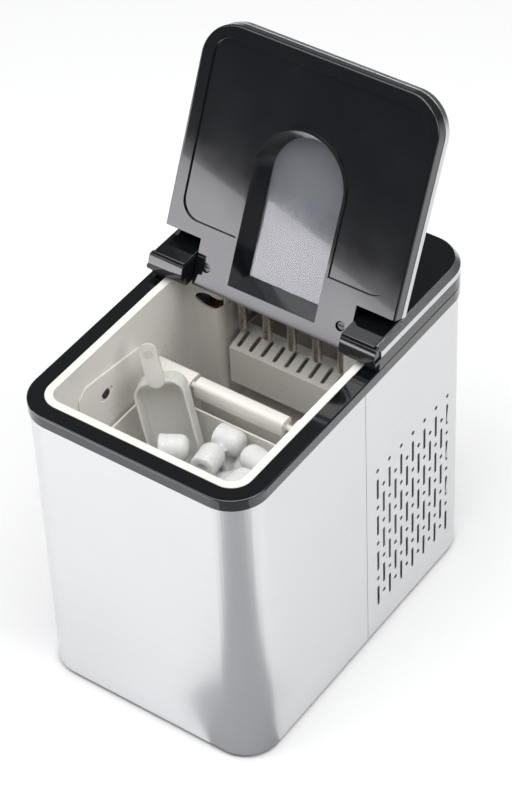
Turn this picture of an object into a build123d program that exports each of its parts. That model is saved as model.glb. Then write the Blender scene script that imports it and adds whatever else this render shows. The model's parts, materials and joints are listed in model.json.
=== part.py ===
from build123d import *
import math
import os

os.makedirs("parts", exist_ok=True)

# Countertop ice maker, lid open. Millimetres, X to the right, Y to the back, Z up.
# Origin: centre of the footprint, on the surface that the feet stand on.

# ---- body ----
BODY_W = 239.0          # across the side panels
BODY_D = 355.0          # front face to back panel
BODY_R = 34.0           # corner radius of the body in plan
SHEET_T = 1.0           # sheet thickness of the panels
FOOT_H = 4.0            # height of the feet
FOOT_R = 11.0
BODY_TOP = 316.5        # top edge of the panels
SEAM_Y = 4.0            # side seam between front wrap and rear panels
SEAM_GAP = 0.6
BACK_HALF = 85.0        # half width of the flat back panel
FLOOR_T = 2.5           # base pan floor
PAN_RIM_H = 12.0
PAN_RIM_T = 2.0
FIT = 0.2               # clearance between fixed pieces that sit in one another

# ---- vents in both side panels ----
VENT_COLS = 13
VENT_Y0 = 22.0
VENT_PITCH = 9.6
VENT_Z0 = 35.0
VENT_Z1 = 213.0
VENT_SLOT_L = 25.0
VENT_SLOT_W = 3.5
VENT_DOT = 4.4
GRILLE_T = 2.6            # thickness of the panel where the vents pass through
GRILLE_EDGE = 8.0
GRILLE_SPACE = 10.0        # air space between a grille and the insulation
VENT_REPEAT = 46.0

# ---- top ring ----
RING_OVER = 1.5         # how far the ring stands proud of the body, all round
RING_H = 11.5
RING_BAND = 15.5        # width of the flat band from the outer edge to the basin
RING_WALL = 2.5

# ---- basin ----
RIM_W = 7.3             # white rim between the ring and the chamber
RIM_T = 2.0
RIM_LIP = 0.5           # front part of the rim stands this much above the ring
BASIN_WALL = 2.0
CHAMBER_BACK = 47.0     # rear wall of the chamber
CHAMBER_FLOOR = 70.0
CHAMBER_R = 13.0
ALCOVE_HALF = 64.0      # recess that holds the evaporator and the tray
ALCOVE_BACK = 112.0
ALCOVE_FLOOR = 170.0
ALCOVE_R = 8.0
LEDGE_W = 10.0          # ledges that carry the basket
LEDGE_T = 6.0
FOAM_FLOOR = 10.0       # insulation under the chamber

# ---- rear cover and lid ----
COVER_H = 26.0          # rear cover above the ring
COVER_LOW = 12.5        # black lower layer
BAND_CHAMFER = 4.6
BAND_T = 5.0            # radial thickness of the bright bands
PLATE_T = 2.4           # glossy top plate
LID_GAP = 1.0           # between the closed lid and the ring
TAB_HALF = 82.0         # half width of the lid's hinge tab
TAB_SIDE = 1.0          # gap at each side of the tab
HINGE_Y = 44.3
HINGE_BELOW_TOP = 16.8  # hinge axis below the top of the cover
HINGE_PIN_R = 3.5
HINGE_PIN_LEN = 18.0
HINGE_RUN = 0.05        # running clearance of the pins
NOSE_R = 27.0           # noses are round about the hinge axis
NOSE_SET_BACK = 24.0    # front of the lower layer of the noses
LID_BACK = 16.5         # rear edge of the closed lid beside the tab
TAB_R = 17.7
TAB_CLEAR = 0.6
LID_OPEN = 114.0
SHELL_T = 2.5
BORDER_W = 13.0
BORDER_STEP = 2.0
WINDOW_HALF = 46.0
WINDOW_FRONT = -65.0    # centre of the round end of the window recess
WINDOW_BACK = 47.5
WINDOW_SHRINK = 9.0     # the recess narrows this much down to the glass
GLASS_T = 3.0
GLASS_LAP = 2.0
LID_SCREW_X = 71.0
LID_SCREW_Y = 40.5

# ---- control panel on the rear cover ----
PANEL_Y = 122.0
PANEL_W = 120.0
PANEL_D = 40.0
PANEL_T = 0.8
BUTTON_R = 8.0
BUTTON_X = 38.0
BUTTON_RISE = 0.6
BUTTON_TRAVEL = 1.0
BUTTON_GAP = 0.25
LED_COUNT = 5
LED_PITCH = 9.0

# ---- evaporator, tray, gate ----
FINGER_R = 4.5
FINGER_PITCH = 27.0
FINGER_ROWS = ((66.0, 5), (90.0, 4))
FINGER_BOTTOM = 260.0
EVAP_Z = 296.0
EVAP_R = 4.0
EVAP_RIGHT = 59.5       # far end of the return bend
EVAP_BEND = 5.5
EVAP_LEFT = -72.0
TRAY_HALF = 59.0
TRAY_FRONT = 50.0
TRAY_BACK = 104.0
TRAY_LIP_Z = 247.0
TRAY_PLATE_BACK = 80.0
TRAY_PLATE_RISE = 8.0
TRAY_BOTTOM = 205.0
TRAY_WALL = 2.2
TRAY_SLOTS = 9
TRAY_SLOT_PITCH = 13.0
TRAY_SLOT_W = 4.2
TRAY_SLOT_L = 19.0
AXLE_Y = 62.0
AXLE_Z = 240.0
AXLE_R = 3.0
AXLE_RUN = 0.06
GATE_Y = -12.5
GATE_Z = 252.5
GATE_HALF = 48.0
GATE_D = 15.0
GATE_H = 19.0
GATE_BLADE_LOW = 206.0
GATE_BLADE_T = 2.4
GATE_PIN_R = 3.0
GATE_PIN_LEN = 12.0
BLOCK_INNER = 54.0
BLOCK_FRONT = -18.0
BLOCK_BACK = 0.0
BLOCK_TOP = 258.0
BLOCK_LOW = 214.0

# ---- basket, ice, scoop ----
BASKET_HALF = 94.0
BASKET_FRONT = -152.0
BASKET_BACK = -21.0        # clears the front of the swinging gate
BASKET_LOW = 165.0
BASKET_TOP = 235.0
BASKET_WALL = 2.0
BASKET_R = 10.0
ICE_R = 12.5
ICE_LEN = 28.0
ICE_BORE = 4.5
ICE_DOME = 9.0          # rounding of the closed end
ICE_CAP = 8.0           # ice over the end of the bore
ICE_GAP = 0.25
SCOOP_W = 46.0
SCOOP_L = 85.6
SCOOP_DEPTH = 22.0
SCOOP_WALL = 1.8
SCOOP_R = 14.0
SCOOP_FLOOR_R = 6.0
SCOOP_HANDLE_L = 37.0
SCOOP_HANDLE_W = 16.0
SCOOP_HOLE_R = 4.6
SCOOP_TOP = (-60.0, -56.0, 287.0)
SCOOP_ACROSS = (0.8338, 0.5044, 0.2244)
SCOOP_FACE = (0.4338, -0.8572, 0.2774)

# ---- machinery ----
COMP_X = -5.0
COMP_Y = 112.0
COMP_R = 48.0
COMP_LOW = 22.0
COMP_TOP = 140.0
CONDENSER_X0 = 94.0
CONDENSER_X1 = 112.0
CONDENSER_Y0 = 52.0
CONDENSER_Y1 = 150.0
CONDENSER_Z0 = 40.0
CONDENSER_Z1 = 215.0
FAN_Z = 127.0
FAN_R = 43.0
FAN_BORE = 45.0
FAN_HUB_R = 14.0
FAN_SHAFT_R = 2.5
SHROUD_X0 = 67.5
DRYER_X = -98.0
DRYER_Y = 150.0
DRYER_R = 11.0
PIPE_R = 3.0
SUCTION_R = 3.6
CAPILLARY_R = 1.3
HOSE_R = 4.5
VALVE = (10.0, 140.0, 205.0)
PUMP_X = 62.0
PUMP_Y = 72.0
DRAIN_X = -66.0
DRAIN_Z = 40.0
DRAIN_BORE = 6.0
DRAIN_HEAD_R = 11.0
GLAND_X = -72.0
GLAND_Z = 110.0
JOINT_GAP = 0.2         # between tube ends and the stubs they are brazed to

# ---- worked out from the sizes above ----
RING_Z1 = BODY_TOP + RING_H
RING_W = BODY_W + 2 * RING_OVER
RING_D = BODY_D + 2 * RING_OVER
RING_R = BODY_R + RING_OVER
COVER_TOP = RING_Z1 + COVER_H
BAND_Z0 = RING_Z1 + COVER_LOW
PLATE_Z0 = COVER_TOP - PLATE_T
HINGE_Z = COVER_TOP - HINGE_BELOW_TOP
HINGE = Axis((0, HINGE_Y, HINGE_Z), (1, 0, 0))
RIM_HALF = RING_W / 2 - RING_BAND
RIM_FRONT = -(RING_D / 2 - RING_BAND)
CHAMBER_HALF = RIM_HALF - RIM_W
CHAMBER_FRONT = RIM_FRONT + RIM_W
BODY_BACK = BODY_D / 2
INNER_BACK = BODY_BACK - SHEET_T
PAN_TOP = FOOT_H + FLOOR_T
SIDE_X = BODY_W / 2


def block(x0, x1, y0, y1, z0, z1):
    """Box between two corners."""
    return Pos((x0 + x1) / 2, (y0 + y1) / 2, (z0 + z1) / 2) * Box(x1 - x0, y1 - y0, z1 - z0)


def slab(w, d, r, z0, z1, y=0.0):
    """Rounded rectangle in plan, from z0 to z1."""
    return Pos(0, y, z0) * extrude(RectangleRounded(w, d, r), z1 - z0)


def frame_slab(w, d, r, t, z0, z1):
    """Wall of thickness t that follows a rounded rectangle in plan."""
    return slab(w, d, r, z0, z1) - slab(w - 2 * t, d - 2 * t, r - t, z0 - 1, z1 + 1)


def rod_x(x0, x1, y, z, r):
    return Pos((x0 + x1) / 2, y, z) * Rot(0, 90, 0) * Cylinder(r, x1 - x0)


def rod_y(y0, y1, x, z, r):
    return Pos(x, (y0 + y1) / 2, z) * Rot(90, 0, 0) * Cylinder(r, y1 - y0)


def rod_z(z0, z1, x, y, r):
    return Pos(x, y, (z0 + z1) / 2) * Cylinder(r, z1 - z0)


def tube(points, r, bend):
    """Round tube along straight runs joined by bends of one radius."""
    path = FilletPolyline(*points, radius=bend)
    start = Plane(path @ 0, z_dir=path % 0)
    return sweep(start * Circle(r), path)


def prism_x(points, x0, x1):
    """Prism along X over an outline in the YZ plane."""
    face = Plane((x0, 0, 0), x_dir=(0, 1, 0), z_dir=(1, 0, 0)) * make_face(Polyline(*points, close=True))
    return extrude(face, x1 - x0, dir=(1, 0, 0))


def mirrored(part):
    return part + part.mirror(Plane.YZ)


def solids_of(shape):
    """Compound of every solid in a shape or a list of shapes."""
    found = []
    for item in shape if isinstance(shape, (list, tuple)) else [shape]:
        found.extend(item.solids())
    return Compound(children=found) if len(found) > 1 else found[0]


def save(name, shape):
    export_step(solids_of(shape), f"parts/{name}.step")


# ---------------------------------------------------------------- body

def feet():
    x = SIDE_X - 30
    y = BODY_BACK - 30
    foot = rod_z(0, FOOT_H, 0, 0, FOOT_R)
    foot = chamfer(foot.edges().group_by(Axis.Z)[0], 1.0)
    return [Pos(sx * x, sy * y, 0) * foot for sx in (-1, 1) for sy in (-1, 1)]


def base_pan():
    w = BODY_W - 2 * (SHEET_T + FIT)
    d = BODY_D - 2 * (SHEET_T + FIT)
    r = BODY_R - SHEET_T - FIT
    pan = slab(w, d, r, FOOT_H, PAN_TOP + PAN_RIM_H)
    pan -= slab(w - 2 * PAN_RIM_T, d - 2 * PAN_RIM_T, r - PAN_RIM_T, PAN_TOP, PAN_TOP + PAN_RIM_H + 1)
    for x in SCREW_XS:
        pan -= rod_y(BODY_BACK - 8, BODY_BACK, x, SCREW_Z, SCREW_R + 0.05)
    return pan


SCREW_XS = (-70.0, -24.0, 24.0, 70.0)
SCREW_Z = PAN_TOP + 6.0
SCREW_R = 1.5


def back_screws():
    shank_in = BODY_BACK - SHEET_T - 6
    out = []
    for x in SCREW_XS:
        head = rod_y(BODY_BACK, BODY_BACK + 1.3, x, SCREW_Z, 3.4)
        out.append(head + rod_y(shank_in, BODY_BACK + 0.5, x, SCREW_Z, SCREW_R))
    return out


def body_sheet():
    return frame_slab(BODY_W, BODY_D, BODY_R, SHEET_T, FOOT_H, BODY_TOP)


def front_wrap():
    cut = block(-SIDE_X - 9, SIDE_X + 9, SEAM_Y - SEAM_GAP / 2, BODY_BACK + 9, 0, BODY_TOP + 9)
    return body_sheet() - cut


def vent_pattern():
    """Slots and dots of one grille, drawn in the YZ plane."""
    shapes = []
    for col in range(VENT_COLS):
        y = VENT_Y0 + col * VENT_PITCH
        z = VENT_Z0 - (VENT_REPEAT / 2 if col % 2 else 0)
        while z < VENT_Z1:
            mid = z + VENT_SLOT_L / 2
            dot = z + (VENT_SLOT_L + VENT_REPEAT) / 2
            if mid - VENT_SLOT_L / 2 >= VENT_Z0 - 1 and mid + VENT_SLOT_L / 2 <= VENT_Z1 + 1:
                shapes.append(Pos(y, mid) * Rot(0, 0, 90) * SlotOverall(VENT_SLOT_L, VENT_SLOT_W))
            if VENT_Z0 <= dot <= VENT_Z1:
                shapes.append(Pos(y, dot) * Circle(VENT_DOT / 2))
            z += VENT_REPEAT
    return shapes


def grille_pad(deep, start):
    """Block behind the right grille, from start to deep under the outer face."""
    y1 = VENT_Y0 + (VENT_COLS - 1) * VENT_PITCH + GRILLE_EDGE
    return block(SIDE_X - deep, SIDE_X - start, VENT_Y0 - GRILLE_EDGE, y1,
                 VENT_Z0 - GRILLE_EDGE, VENT_Z1 + GRILLE_EDGE)


def side_panel():
    """Right rear side panel: flat side with the grille, round rear corner and a short return."""
    keep = block(0, SIDE_X + 9, SEAM_Y + SEAM_GAP / 2, BODY_BACK + 9, 0, BODY_TOP + 9)
    keep -= block(-1, BACK_HALF + SEAM_GAP / 2, BODY_BACK - 20, BODY_BACK + 9, 0, BODY_TOP + 9)
    panel = body_sheet() & keep
    panel += grille_pad(GRILLE_T, SHEET_T / 2)
    wall = Plane((SIDE_X - GRILLE_T - 1, 0, 0), x_dir=(0, 1, 0), z_dir=(1, 0, 0))
    cutters = [extrude(wall * s, GRILLE_T + 2) for s in vent_pattern()]
    return panel - cutters


def back_panel():
    panel = block(-BACK_HALF + SEAM_GAP / 2, BACK_HALF - SEAM_GAP / 2,
                  INNER_BACK, BODY_BACK, FOOT_H, BODY_TOP)
    panel -= rod_y(INNER_BACK - 1, BODY_BACK + 1, DRAIN_X, DRAIN_Z, DRAIN_HEAD_R + 0.6)
    panel -= rod_y(INNER_BACK - 1, BODY_BACK + 1, GLAND_X, GLAND_Z, GLAND_R + FIT)
    for x in SCREW_XS:
        panel -= rod_y(INNER_BACK - 1, BODY_BACK + 1, x, SCREW_Z, SCREW_R + 0.1)
    louvres = []
    for row in range(5):
        for col in range(4):
            louvres.append(block(20 + col * 15, 32 + col * 15, INNER_BACK - 1, BODY_BACK + 1,
                                 60 + row * 12, 64 + row * 12))
    return panel - louvres


GLAND_R = 8.0
GLAND_BORE = 4.4


def cord_gland():
    """Bushing in the back panel that the mains lead would leave through."""
    body = rod_y(INNER_BACK - 8, BODY_BACK, GLAND_X, GLAND_Z, GLAND_R)
    body += rod_y(BODY_BACK, BODY_BACK + 1.3, GLAND_X, GLAND_Z, GLAND_R + 2.5)
    body += rod_y(INNER_BACK - 3, INNER_BACK - 0.1, GLAND_X, GLAND_Z, GLAND_R + 2)
    return body - rod_y(INNER_BACK - 9, BODY_BACK + 3, GLAND_X, GLAND_Z, GLAND_BORE)


def top_ring():
    ring = slab(RING_W, RING_D, RING_R, BODY_TOP, RING_Z1)
    ring = fillet(ring.faces().sort_by(Axis.Z)[-1].edges(), 1.5)
    open_r = RING_R - RING_BAND
    ring -= slab(2 * (RIM_HALF + FIT), -2 * (RIM_FRONT - FIT), open_r + FIT, BODY_TOP - 1, RING_Z1 + 1)
    outer = slab(RING_W - 2 * RING_WALL, RING_D - 2 * RING_WALL, RING_R - RING_WALL,
                 BODY_TOP - 1, RING_Z1 - RING_WALL)
    inner = slab(2 * (RIM_HALF + FIT + RING_WALL), -2 * (RIM_FRONT - FIT - RING_WALL),
                 open_r + FIT + RING_WALL, BODY_TOP - 1, RING_Z1 - RING_WALL)
    return ring - (outer - inner)


# ---------------------------------------------------------------- basin

def chamber_plan(grow):
    w = 2 * (CHAMBER_HALF + grow)
    d = CHAMBER_BACK - CHAMBER_FRONT + 2 * grow
    return Pos(0, (CHAMBER_BACK + CHAMBER_FRONT) / 2) * RectangleRounded(w, d, CHAMBER_R + grow)


def basin_plan(grow):
    """Chamber and alcove together, with rounded edges where they meet."""
    w = 2 * (ALCOVE_HALF + grow)
    d = ALCOVE_BACK + grow - (CHAMBER_BACK - 40)
    alcove = Pos(0, ALCOVE_BACK + grow - d / 2) * Rectangle(w, d)
    plan = chamber_plan(grow) + alcove
    meet_y = CHAMBER_BACK + grow
    corners = [v for v in plan.vertices() if abs(v.Y - meet_y) < 0.01 and abs(v.X) < ALCOVE_HALF + grow + 1]
    return fillet(corners, ALCOVE_R - grow)


def tab_sweep(clear):
    """Space that the lid's tab turns in."""
    half = TAB_HALF + TAB_SIDE + 0.2
    return rod_x(-half, half, HINGE_Y, HINGE_Z, TAB_R + TAB_CLEAR + clear)


def basin_liner():
    floor = CHAMBER_FLOOR
    outer = extrude(Pos(0, 0, floor - BASIN_WALL) * chamber_plan(BASIN_WALL), RING_Z1 - floor + BASIN_WALL)
    outer += extrude(Pos(0, 0, ALCOVE_FLOOR - BASIN_WALL) * basin_plan(BASIN_WALL),
                     RING_Z1 - ALCOVE_FLOOR + BASIN_WALL)
    rim_r = RING_R - RING_BAND
    rim_d = ALCOVE_BACK + 12 - RIM_FRONT
    rim_y = RIM_FRONT + rim_d / 2
    outer += slab(2 * RIM_HALF, rim_d, rim_r, RING_Z1 - RIM_T, RING_Z1, rim_y)
    lip = slab(2 * RIM_HALF, rim_d, rim_r, RING_Z1 - 1, RING_Z1 + RIM_LIP, rim_y)
    outer += lip - block(-SIDE_X, SIDE_X, 8, BODY_BACK, RING_Z1 - 2, RING_Z1 + 5)
    inner = extrude(Pos(0, 0, floor) * chamber_plan(0), RING_Z1 + 5 - floor)
    inner += extrude(Pos(0, 0, ALCOVE_FLOOR) * basin_plan(0), RING_Z1 + 5 - ALCOVE_FLOOR)
    liner = outer - inner
    ledge = block(CHAMBER_HALF - LEDGE_W, CHAMBER_HALF + 0.5, BASKET_FRONT + 12, BASKET_BACK,
                  BASKET_LOW - 0.3 - LEDGE_T, BASKET_LOW - 0.3)
    liner += mirrored(ledge)
    liner -= tab_sweep(0.4)
    for sx in (-1, 1):
        liner -= rod_x(sx * ALCOVE_HALF - 4, sx * ALCOVE_HALF + 4, AXLE_Y, AXLE_Z, AXLE_R + AXLE_RUN)
    liner -= tube_window()
    liner -= rod_y(ALCOVE_BACK - 1, ALCOVE_BACK + 3, SPOUT_X, SPOUT_Z, SPOUT_R + 0.1)
    liner -= rod_y(CHAMBER_BACK - 1, CHAMBER_BACK + 3, PUMP_X, PORT_Z, HOSE_R + 0.1)
    liner -= rod_z(floor - 3, floor + 1, DRAIN_X, DRAIN_PORT_Y, HOSE_R + 0.1)
    return liner


WINDOW_X = -77.0
WINDOW_Z = 296.0
PORT_Z = 85.0
SPOUT_X = 54.0
SPOUT_Z = 275.0
SPOUT_R = 4.0
DRAIN_PORT_Y = 30.0


def tube_window():
    """Lens-shaped opening in the rear wall, and the slot that lets the evaporator tubes through."""
    reach = 19.0
    offset = 11.0
    lens = Pos(0, -offset) * Circle(reach) & Pos(0, offset) * Circle(reach)
    face = Plane((WINDOW_X, CHAMBER_BACK - 1, WINDOW_Z), x_dir=(1, 0, 0), z_dir=(0, 1, 0))
    lens_cut = extrude(face * lens, 9)
    rows = [row[0] for row in FINGER_ROWS]
    slot = block(-ALCOVE_HALF - 3, -ALCOVE_HALF + 1, min(rows) - 6, max(rows) + 6,
                 EVAP_Z - 6, EVAP_Z + 6)
    return lens_cut + slot


def insulation():
    """Foam around the chamber, inside the sheet body."""
    gap = SHEET_T + 0.3
    low = CHAMBER_FLOOR - BASIN_WALL - FOAM_FLOOR
    foam = slab(BODY_W - 2 * gap, BODY_D - 2 * gap, BODY_R - gap, low, BODY_TOP - FIT)
    foam -= block(-SIDE_X, SIDE_X, CHAMBER_BACK - 1, BODY_BACK, 0, BODY_TOP + 9)
    space = grille_pad(GRILLE_SPACE, 0)
    foam -= space
    foam -= mirror(space, about=Plane.YZ)
    core = Pos(0, 0, CHAMBER_FLOOR - BASIN_WALL - FIT) * chamber_plan(BASIN_WALL + FIT)
    foam -= extrude(core, BODY_TOP)
    return foam - rod_z(low - 1, CHAMBER_FLOOR, DRAIN_X, DRAIN_PORT_Y, HOSE_R + 3)


def sensor_plan():
    """Outline of a sensor cover on a side wall, with a chamfered upper front corner."""
    outline = Polyline((-118, 216), (-30, 216), (-30, 290), (-108, 301), (-118, 292), close=True)
    plate = fillet(make_face(outline).vertices(), 4)
    hole = Pos(-81, 273) * Rot(0, 0, 15) * Ellipse(9, 5.5)
    return plate - hole


SENSOR_T = 1.6


def sensor_covers():
    face = Plane((-CHAMBER_HALF + 0.1, 0, 0), x_dir=(0, 1, 0), z_dir=(1, 0, 0))
    left = extrude(face * sensor_plan(), SENSOR_T)
    return [left, left.mirror(Plane.YZ)]


def ir_sensors():
    left = rod_x(-CHAMBER_HALF + 0.1, -CHAMBER_HALF + 1.3, -81, 273, 4.8)
    return [left, left.mirror(Plane.YZ)]


def gate_blocks():
    body = block(BLOCK_INNER, CHAMBER_HALF - FIT, BLOCK_FRONT, BLOCK_BACK, BLOCK_LOW, BLOCK_TOP)
    body = fillet(body.edges().filter_by(Axis.X).group_by(Axis.Z)[-1], 5.0)
    body -= rod_x(BLOCK_INNER - 1, BLOCK_INNER + GATE_PIN_LEN, GATE_Y, GATE_Z, GATE_PIN_R + AXLE_RUN)
    return [body, body.mirror(Plane.YZ)]


def level_sensor():
    body = block(-82, -66, CHAMBER_BACK - 9, CHAMBER_BACK - 0.2, CHAMBER_FLOOR + 5, CHAMBER_FLOOR + 45)
    body = fillet(body.edges().filter_by(Axis.Z), 2.5)
    for x in (-78, -70):
        body += rod_z(CHAMBER_FLOOR + 2, CHAMBER_FLOOR + 6, x, CHAMBER_BACK - 4.5, 1.2)
    return body


# ---------------------------------------------------------------- rear cover and lid

def outline_slab(inset, z0, z1):
    """Plan of the ring, drawn in by inset."""
    return slab(RING_W - 2 * inset, RING_D - 2 * inset, RING_R - inset, z0, z1)


def band(y0, y1):
    """Bright edge band with a wide chamfer on top, kept between y0 and y1."""
    strip = outline_slab(0, BAND_Z0, PLATE_Z0)
    strip = chamfer(strip.faces().sort_by(Axis.Z)[-1].edges(), BAND_CHAMFER)
    strip -= outline_slab(BAND_T, BAND_Z0 - 1, PLATE_Z0 + 1)
    return strip & block(-SIDE_X - 9, SIDE_X + 9, y0, y1, BAND_Z0 - 1, PLATE_Z0 + 1)


def recess_cut():
    """Space for the lid's tab: its rear wall leans back with the open lid."""
    half = TAB_HALF + TAB_SIDE
    rear = HINGE_Y + TAB_R + TAB_CLEAR
    lean = math.radians(LID_OPEN - 90)
    off = HINGE_BELOW_TOP + TAB_CLEAR / 2
    foot_y = HINGE_Y + off * math.cos(lean)
    foot_z = HINGE_Z - off * math.sin(lean)
    knee_z = foot_z + (rear - foot_y) / math.tan(lean)
    top_z = COVER_TOP + 6
    top_y = foot_y + (top_z - foot_z) * math.tan(lean)
    low_z = RING_Z1 - 6
    outline = ((0, low_z), (rear, low_z), (rear, knee_z), (top_y, top_z), (0, top_z))
    return prism_x(outline, -half, half)


def nose_limit(z0, z1):
    """Everything in front of the round noses, to be cut away."""
    front = block(-SIDE_X - 9, SIDE_X + 9, -BODY_D, HINGE_Y, z0, z1)
    return front - rod_x(-SIDE_X - 10, SIDE_X + 10, HINGE_Y, HINGE_Z, NOSE_R)


def rear_cover():
    low = outline_slab(0, RING_Z1, BAND_Z0)
    low -= block(-SIDE_X - 9, SIDE_X + 9, -BODY_D, NOSE_SET_BACK, RING_Z1 - 1, BAND_Z0 - 4)
    core = outline_slab(BAND_T + FIT, BAND_Z0 - 1, PLATE_Z0 - FIT)
    ears = outline_slab(0.4, BAND_Z0 - 1, PLATE_Z0 - FIT)
    ears &= block(-SIDE_X, SIDE_X, -BODY_D, NOSE_BAND_Y - FIT, BAND_Z0 - 1, PLATE_Z0 + 1)
    cover = low + core + ears
    cover -= nose_limit(RING_Z1 - 1, COVER_TOP + 1)
    pocket = outline_slab(BAND_T + 3, RING_Z1 - 1, PLATE_Z0 - 3)
    pocket -= block(-TAB_HALF - 16, TAB_HALF + 16, -BODY_D, 74, 0, COVER_TOP + 9)
    pocket -= block(-SIDE_X, SIDE_X, -BODY_D, HINGE_Y + 8, 0, COVER_TOP + 9)
    cover -= pocket
    cover -= recess_cut()
    for sx in (-1, 1):
        x = sx * (TAB_HALF + HINGE_PIN_LEN / 2)
        cover -= rod_x(x - HINGE_PIN_LEN / 2, x + HINGE_PIN_LEN / 2, HINGE_Y, HINGE_Z,
                       HINGE_PIN_R + HINGE_RUN)
        cover -= rod_z(PLATE_Z0 - 9, PLATE_Z0, sx * BUTTON_X, PANEL_Y, BUTTON_R + 1)
    return cover


NOSE_BAND_Y = 27.0


def cover_band():
    return band(NOSE_BAND_Y, RING_D)


def cover_top_plate():
    plate = outline_slab(BAND_CHAMFER + FIT, PLATE_Z0, COVER_TOP)
    plate -= block(-SIDE_X, SIDE_X, -BODY_D, 0, PLATE_Z0 - 1, COVER_TOP + 1)
    plate -= nose_limit(PLATE_Z0 - 1, COVER_TOP + 1)
    plate -= recess_cut()
    for sx in (-1, 1):
        plate -= rod_z(PLATE_Z0 - 1, COVER_TOP + 1, sx * BUTTON_X, PANEL_Y, BUTTON_R + 1)
    plate -= Pos(0, PANEL_Y, COVER_TOP - PANEL_T - 0.1) * extrude(
        RectangleRounded(PANEL_W + FIT, PANEL_D + FIT, 8), 3)
    return plate


def control_overlay():
    overlay = Pos(0, PANEL_Y, COVER_TOP - PANEL_T) * extrude(RectangleRounded(PANEL_W, PANEL_D, 8), PANEL_T)
    for sx in (-1, 1):
        overlay -= rod_z(COVER_TOP - 3, COVER_TOP + 1, sx * BUTTON_X, PANEL_Y, BUTTON_R + BUTTON_GAP)
    for x in led_places():
        overlay -= rod_z(COVER_TOP - 3, COVER_TOP + 1, x, PANEL_Y, 1.6)
    return overlay


def led_places():
    return [(i - (LED_COUNT - 1) / 2) * LED_PITCH for i in range(LED_COUNT)]


def indicator_leds():
    return [rod_z(COVER_TOP - PANEL_T, COVER_TOP + 0.2, x, PANEL_Y, 1.5) for x in led_places()]


def button(sx):
    """Push button: a cap in the overlay and a stem down to its switch."""
    x = sx * BUTTON_X
    cap = rod_z(COVER_TOP - PLATE_T, COVER_TOP + BUTTON_RISE, x, PANEL_Y, BUTTON_R)
    cap = fillet(cap.edges().group_by(Axis.Z)[-1], 0.5)
    return cap + rod_z(COVER_TOP - BUTTON_STEM, COVER_TOP - 1, x, PANEL_Y, 2.5)


BUTTON_STEM = 7.0
BOARD_T = 1.6


def button_board():
    """Small board under the cover with the two switches, on posts from the cover."""
    top = COVER_TOP - BUTTON_STEM - BUTTON_TRAVEL - 4.0
    board = block(-50, 50, PANEL_Y - 12, PANEL_Y + 12, top - BOARD_T, top)
    for sx in (-1, 1):
        board += block(sx * BUTTON_X - 3, sx * BUTTON_X + 3, PANEL_Y - 3, PANEL_Y + 3, top - 0.5,
                       top + 4.0 - 0.1)
        board += rod_z(top - 0.5, PLATE_Z0 - 3.2, sx * 20, PANEL_Y + 6, 2.5)
    return board


def lid_plan_limit():
    """Region of the closed lid: the outline in front of the rear edge, and the hinge tab."""
    tab = block(-TAB_HALF, TAB_HALF, LID_BACK - 9, HINGE_Y, RING_Z1, COVER_TOP + 1)
    tab += rod_x(-TAB_HALF, TAB_HALF, HINGE_Y, HINGE_Z, TAB_R)
    main = block(-SIDE_X - 9, SIDE_X + 9, -BODY_D, LID_BACK, RING_Z1, COVER_TOP + 1)
    return main + tab


def arch(half, y_mid, y_back, z0, z1, taper=0.0):
    """Window shape: straight sides, a round front end and a square back end."""
    outline = Line((half, y_mid), (half, y_back)) + Line((half, y_back), (-half, y_back))
    outline += Line((-half, y_back), (-half, y_mid))
    outline += ThreePointArc((-half, y_mid), (0, y_mid - half), (half, y_mid))
    return extrude(Pos(0, 0, z0) * make_face(outline), z1 - z0, taper=taper)


LID_Z0 = RING_Z1 + LID_GAP
LID_MID = BAND_Z0
GLASS_Z1 = PLATE_Z0 - 0.2
GLASS_Z0 = GLASS_Z1 - GLASS_T


def window_recess(grow, z0, z1):
    taper = math.degrees(math.atan(WINDOW_SHRINK / (GLASS_Z0 - LID_Z0)))
    return arch(WINDOW_HALF + grow, WINDOW_FRONT, WINDOW_BACK + grow, z0, z1, taper)


def lid_inner_panel():
    """Black pan that faces the chamber, with a raised border and the window recess."""
    pan = outline_slab(0.4, LID_Z0, LID_MID)
    pan = fillet(pan.faces().sort_by(Axis.Z)[0].edges(), 2.0)
    pan -= outline_slab(SHELL_T + 0.4, LID_Z0 + BORDER_STEP + SHELL_T, LID_MID + 1)
    field = slab(RING_W - 2 * BORDER_W, RING_D / 2 + LID_BACK - 2 * BORDER_W, 18, LID_Z0 - 1,
                 LID_Z0 + BORDER_STEP, (LID_BACK - RING_D / 2) / 2)
    pan -= field
    pan &= lid_plan_limit()
    pan += tab_core() & block(-TAB_HALF, TAB_HALF, LID_BACK - 6, HINGE_Y + TAB_R, LID_Z0, LID_MID)
    pan += window_recess(SHELL_T, LID_Z0 + 0.2, GLASS_Z0 - 0.2) & lid_plan_limit()
    pan -= window_recess(0, LID_Z0 - 0.2, GLASS_Z0 + 1)
    for sx in (-1, 1):
        pan -= rod_z(LID_Z0 - 1, LID_Z0 + 4, sx * LID_SCREW_X, LID_SCREW_Y, 4.6)
        pan -= rod_z(LID_Z0, LID_Z0 + 15, sx * LID_SCREW_X, LID_SCREW_Y, 1.6)
        pan -= pin_rod(sx, 0.02)
    return pan


def tab_core():
    """Solid hinge tab, round about the hinge axis."""
    body = block(-TAB_HALF, TAB_HALF, LID_BACK - 6, HINGE_Y, LID_Z0, COVER_TOP - PLATE_T)
    body += rod_x(-TAB_HALF, TAB_HALF, HINGE_Y, HINGE_Z, TAB_R)
    return body & block(-TAB_HALF, TAB_HALF, -BODY_D, BODY_D, LID_Z0, COVER_TOP)


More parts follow.
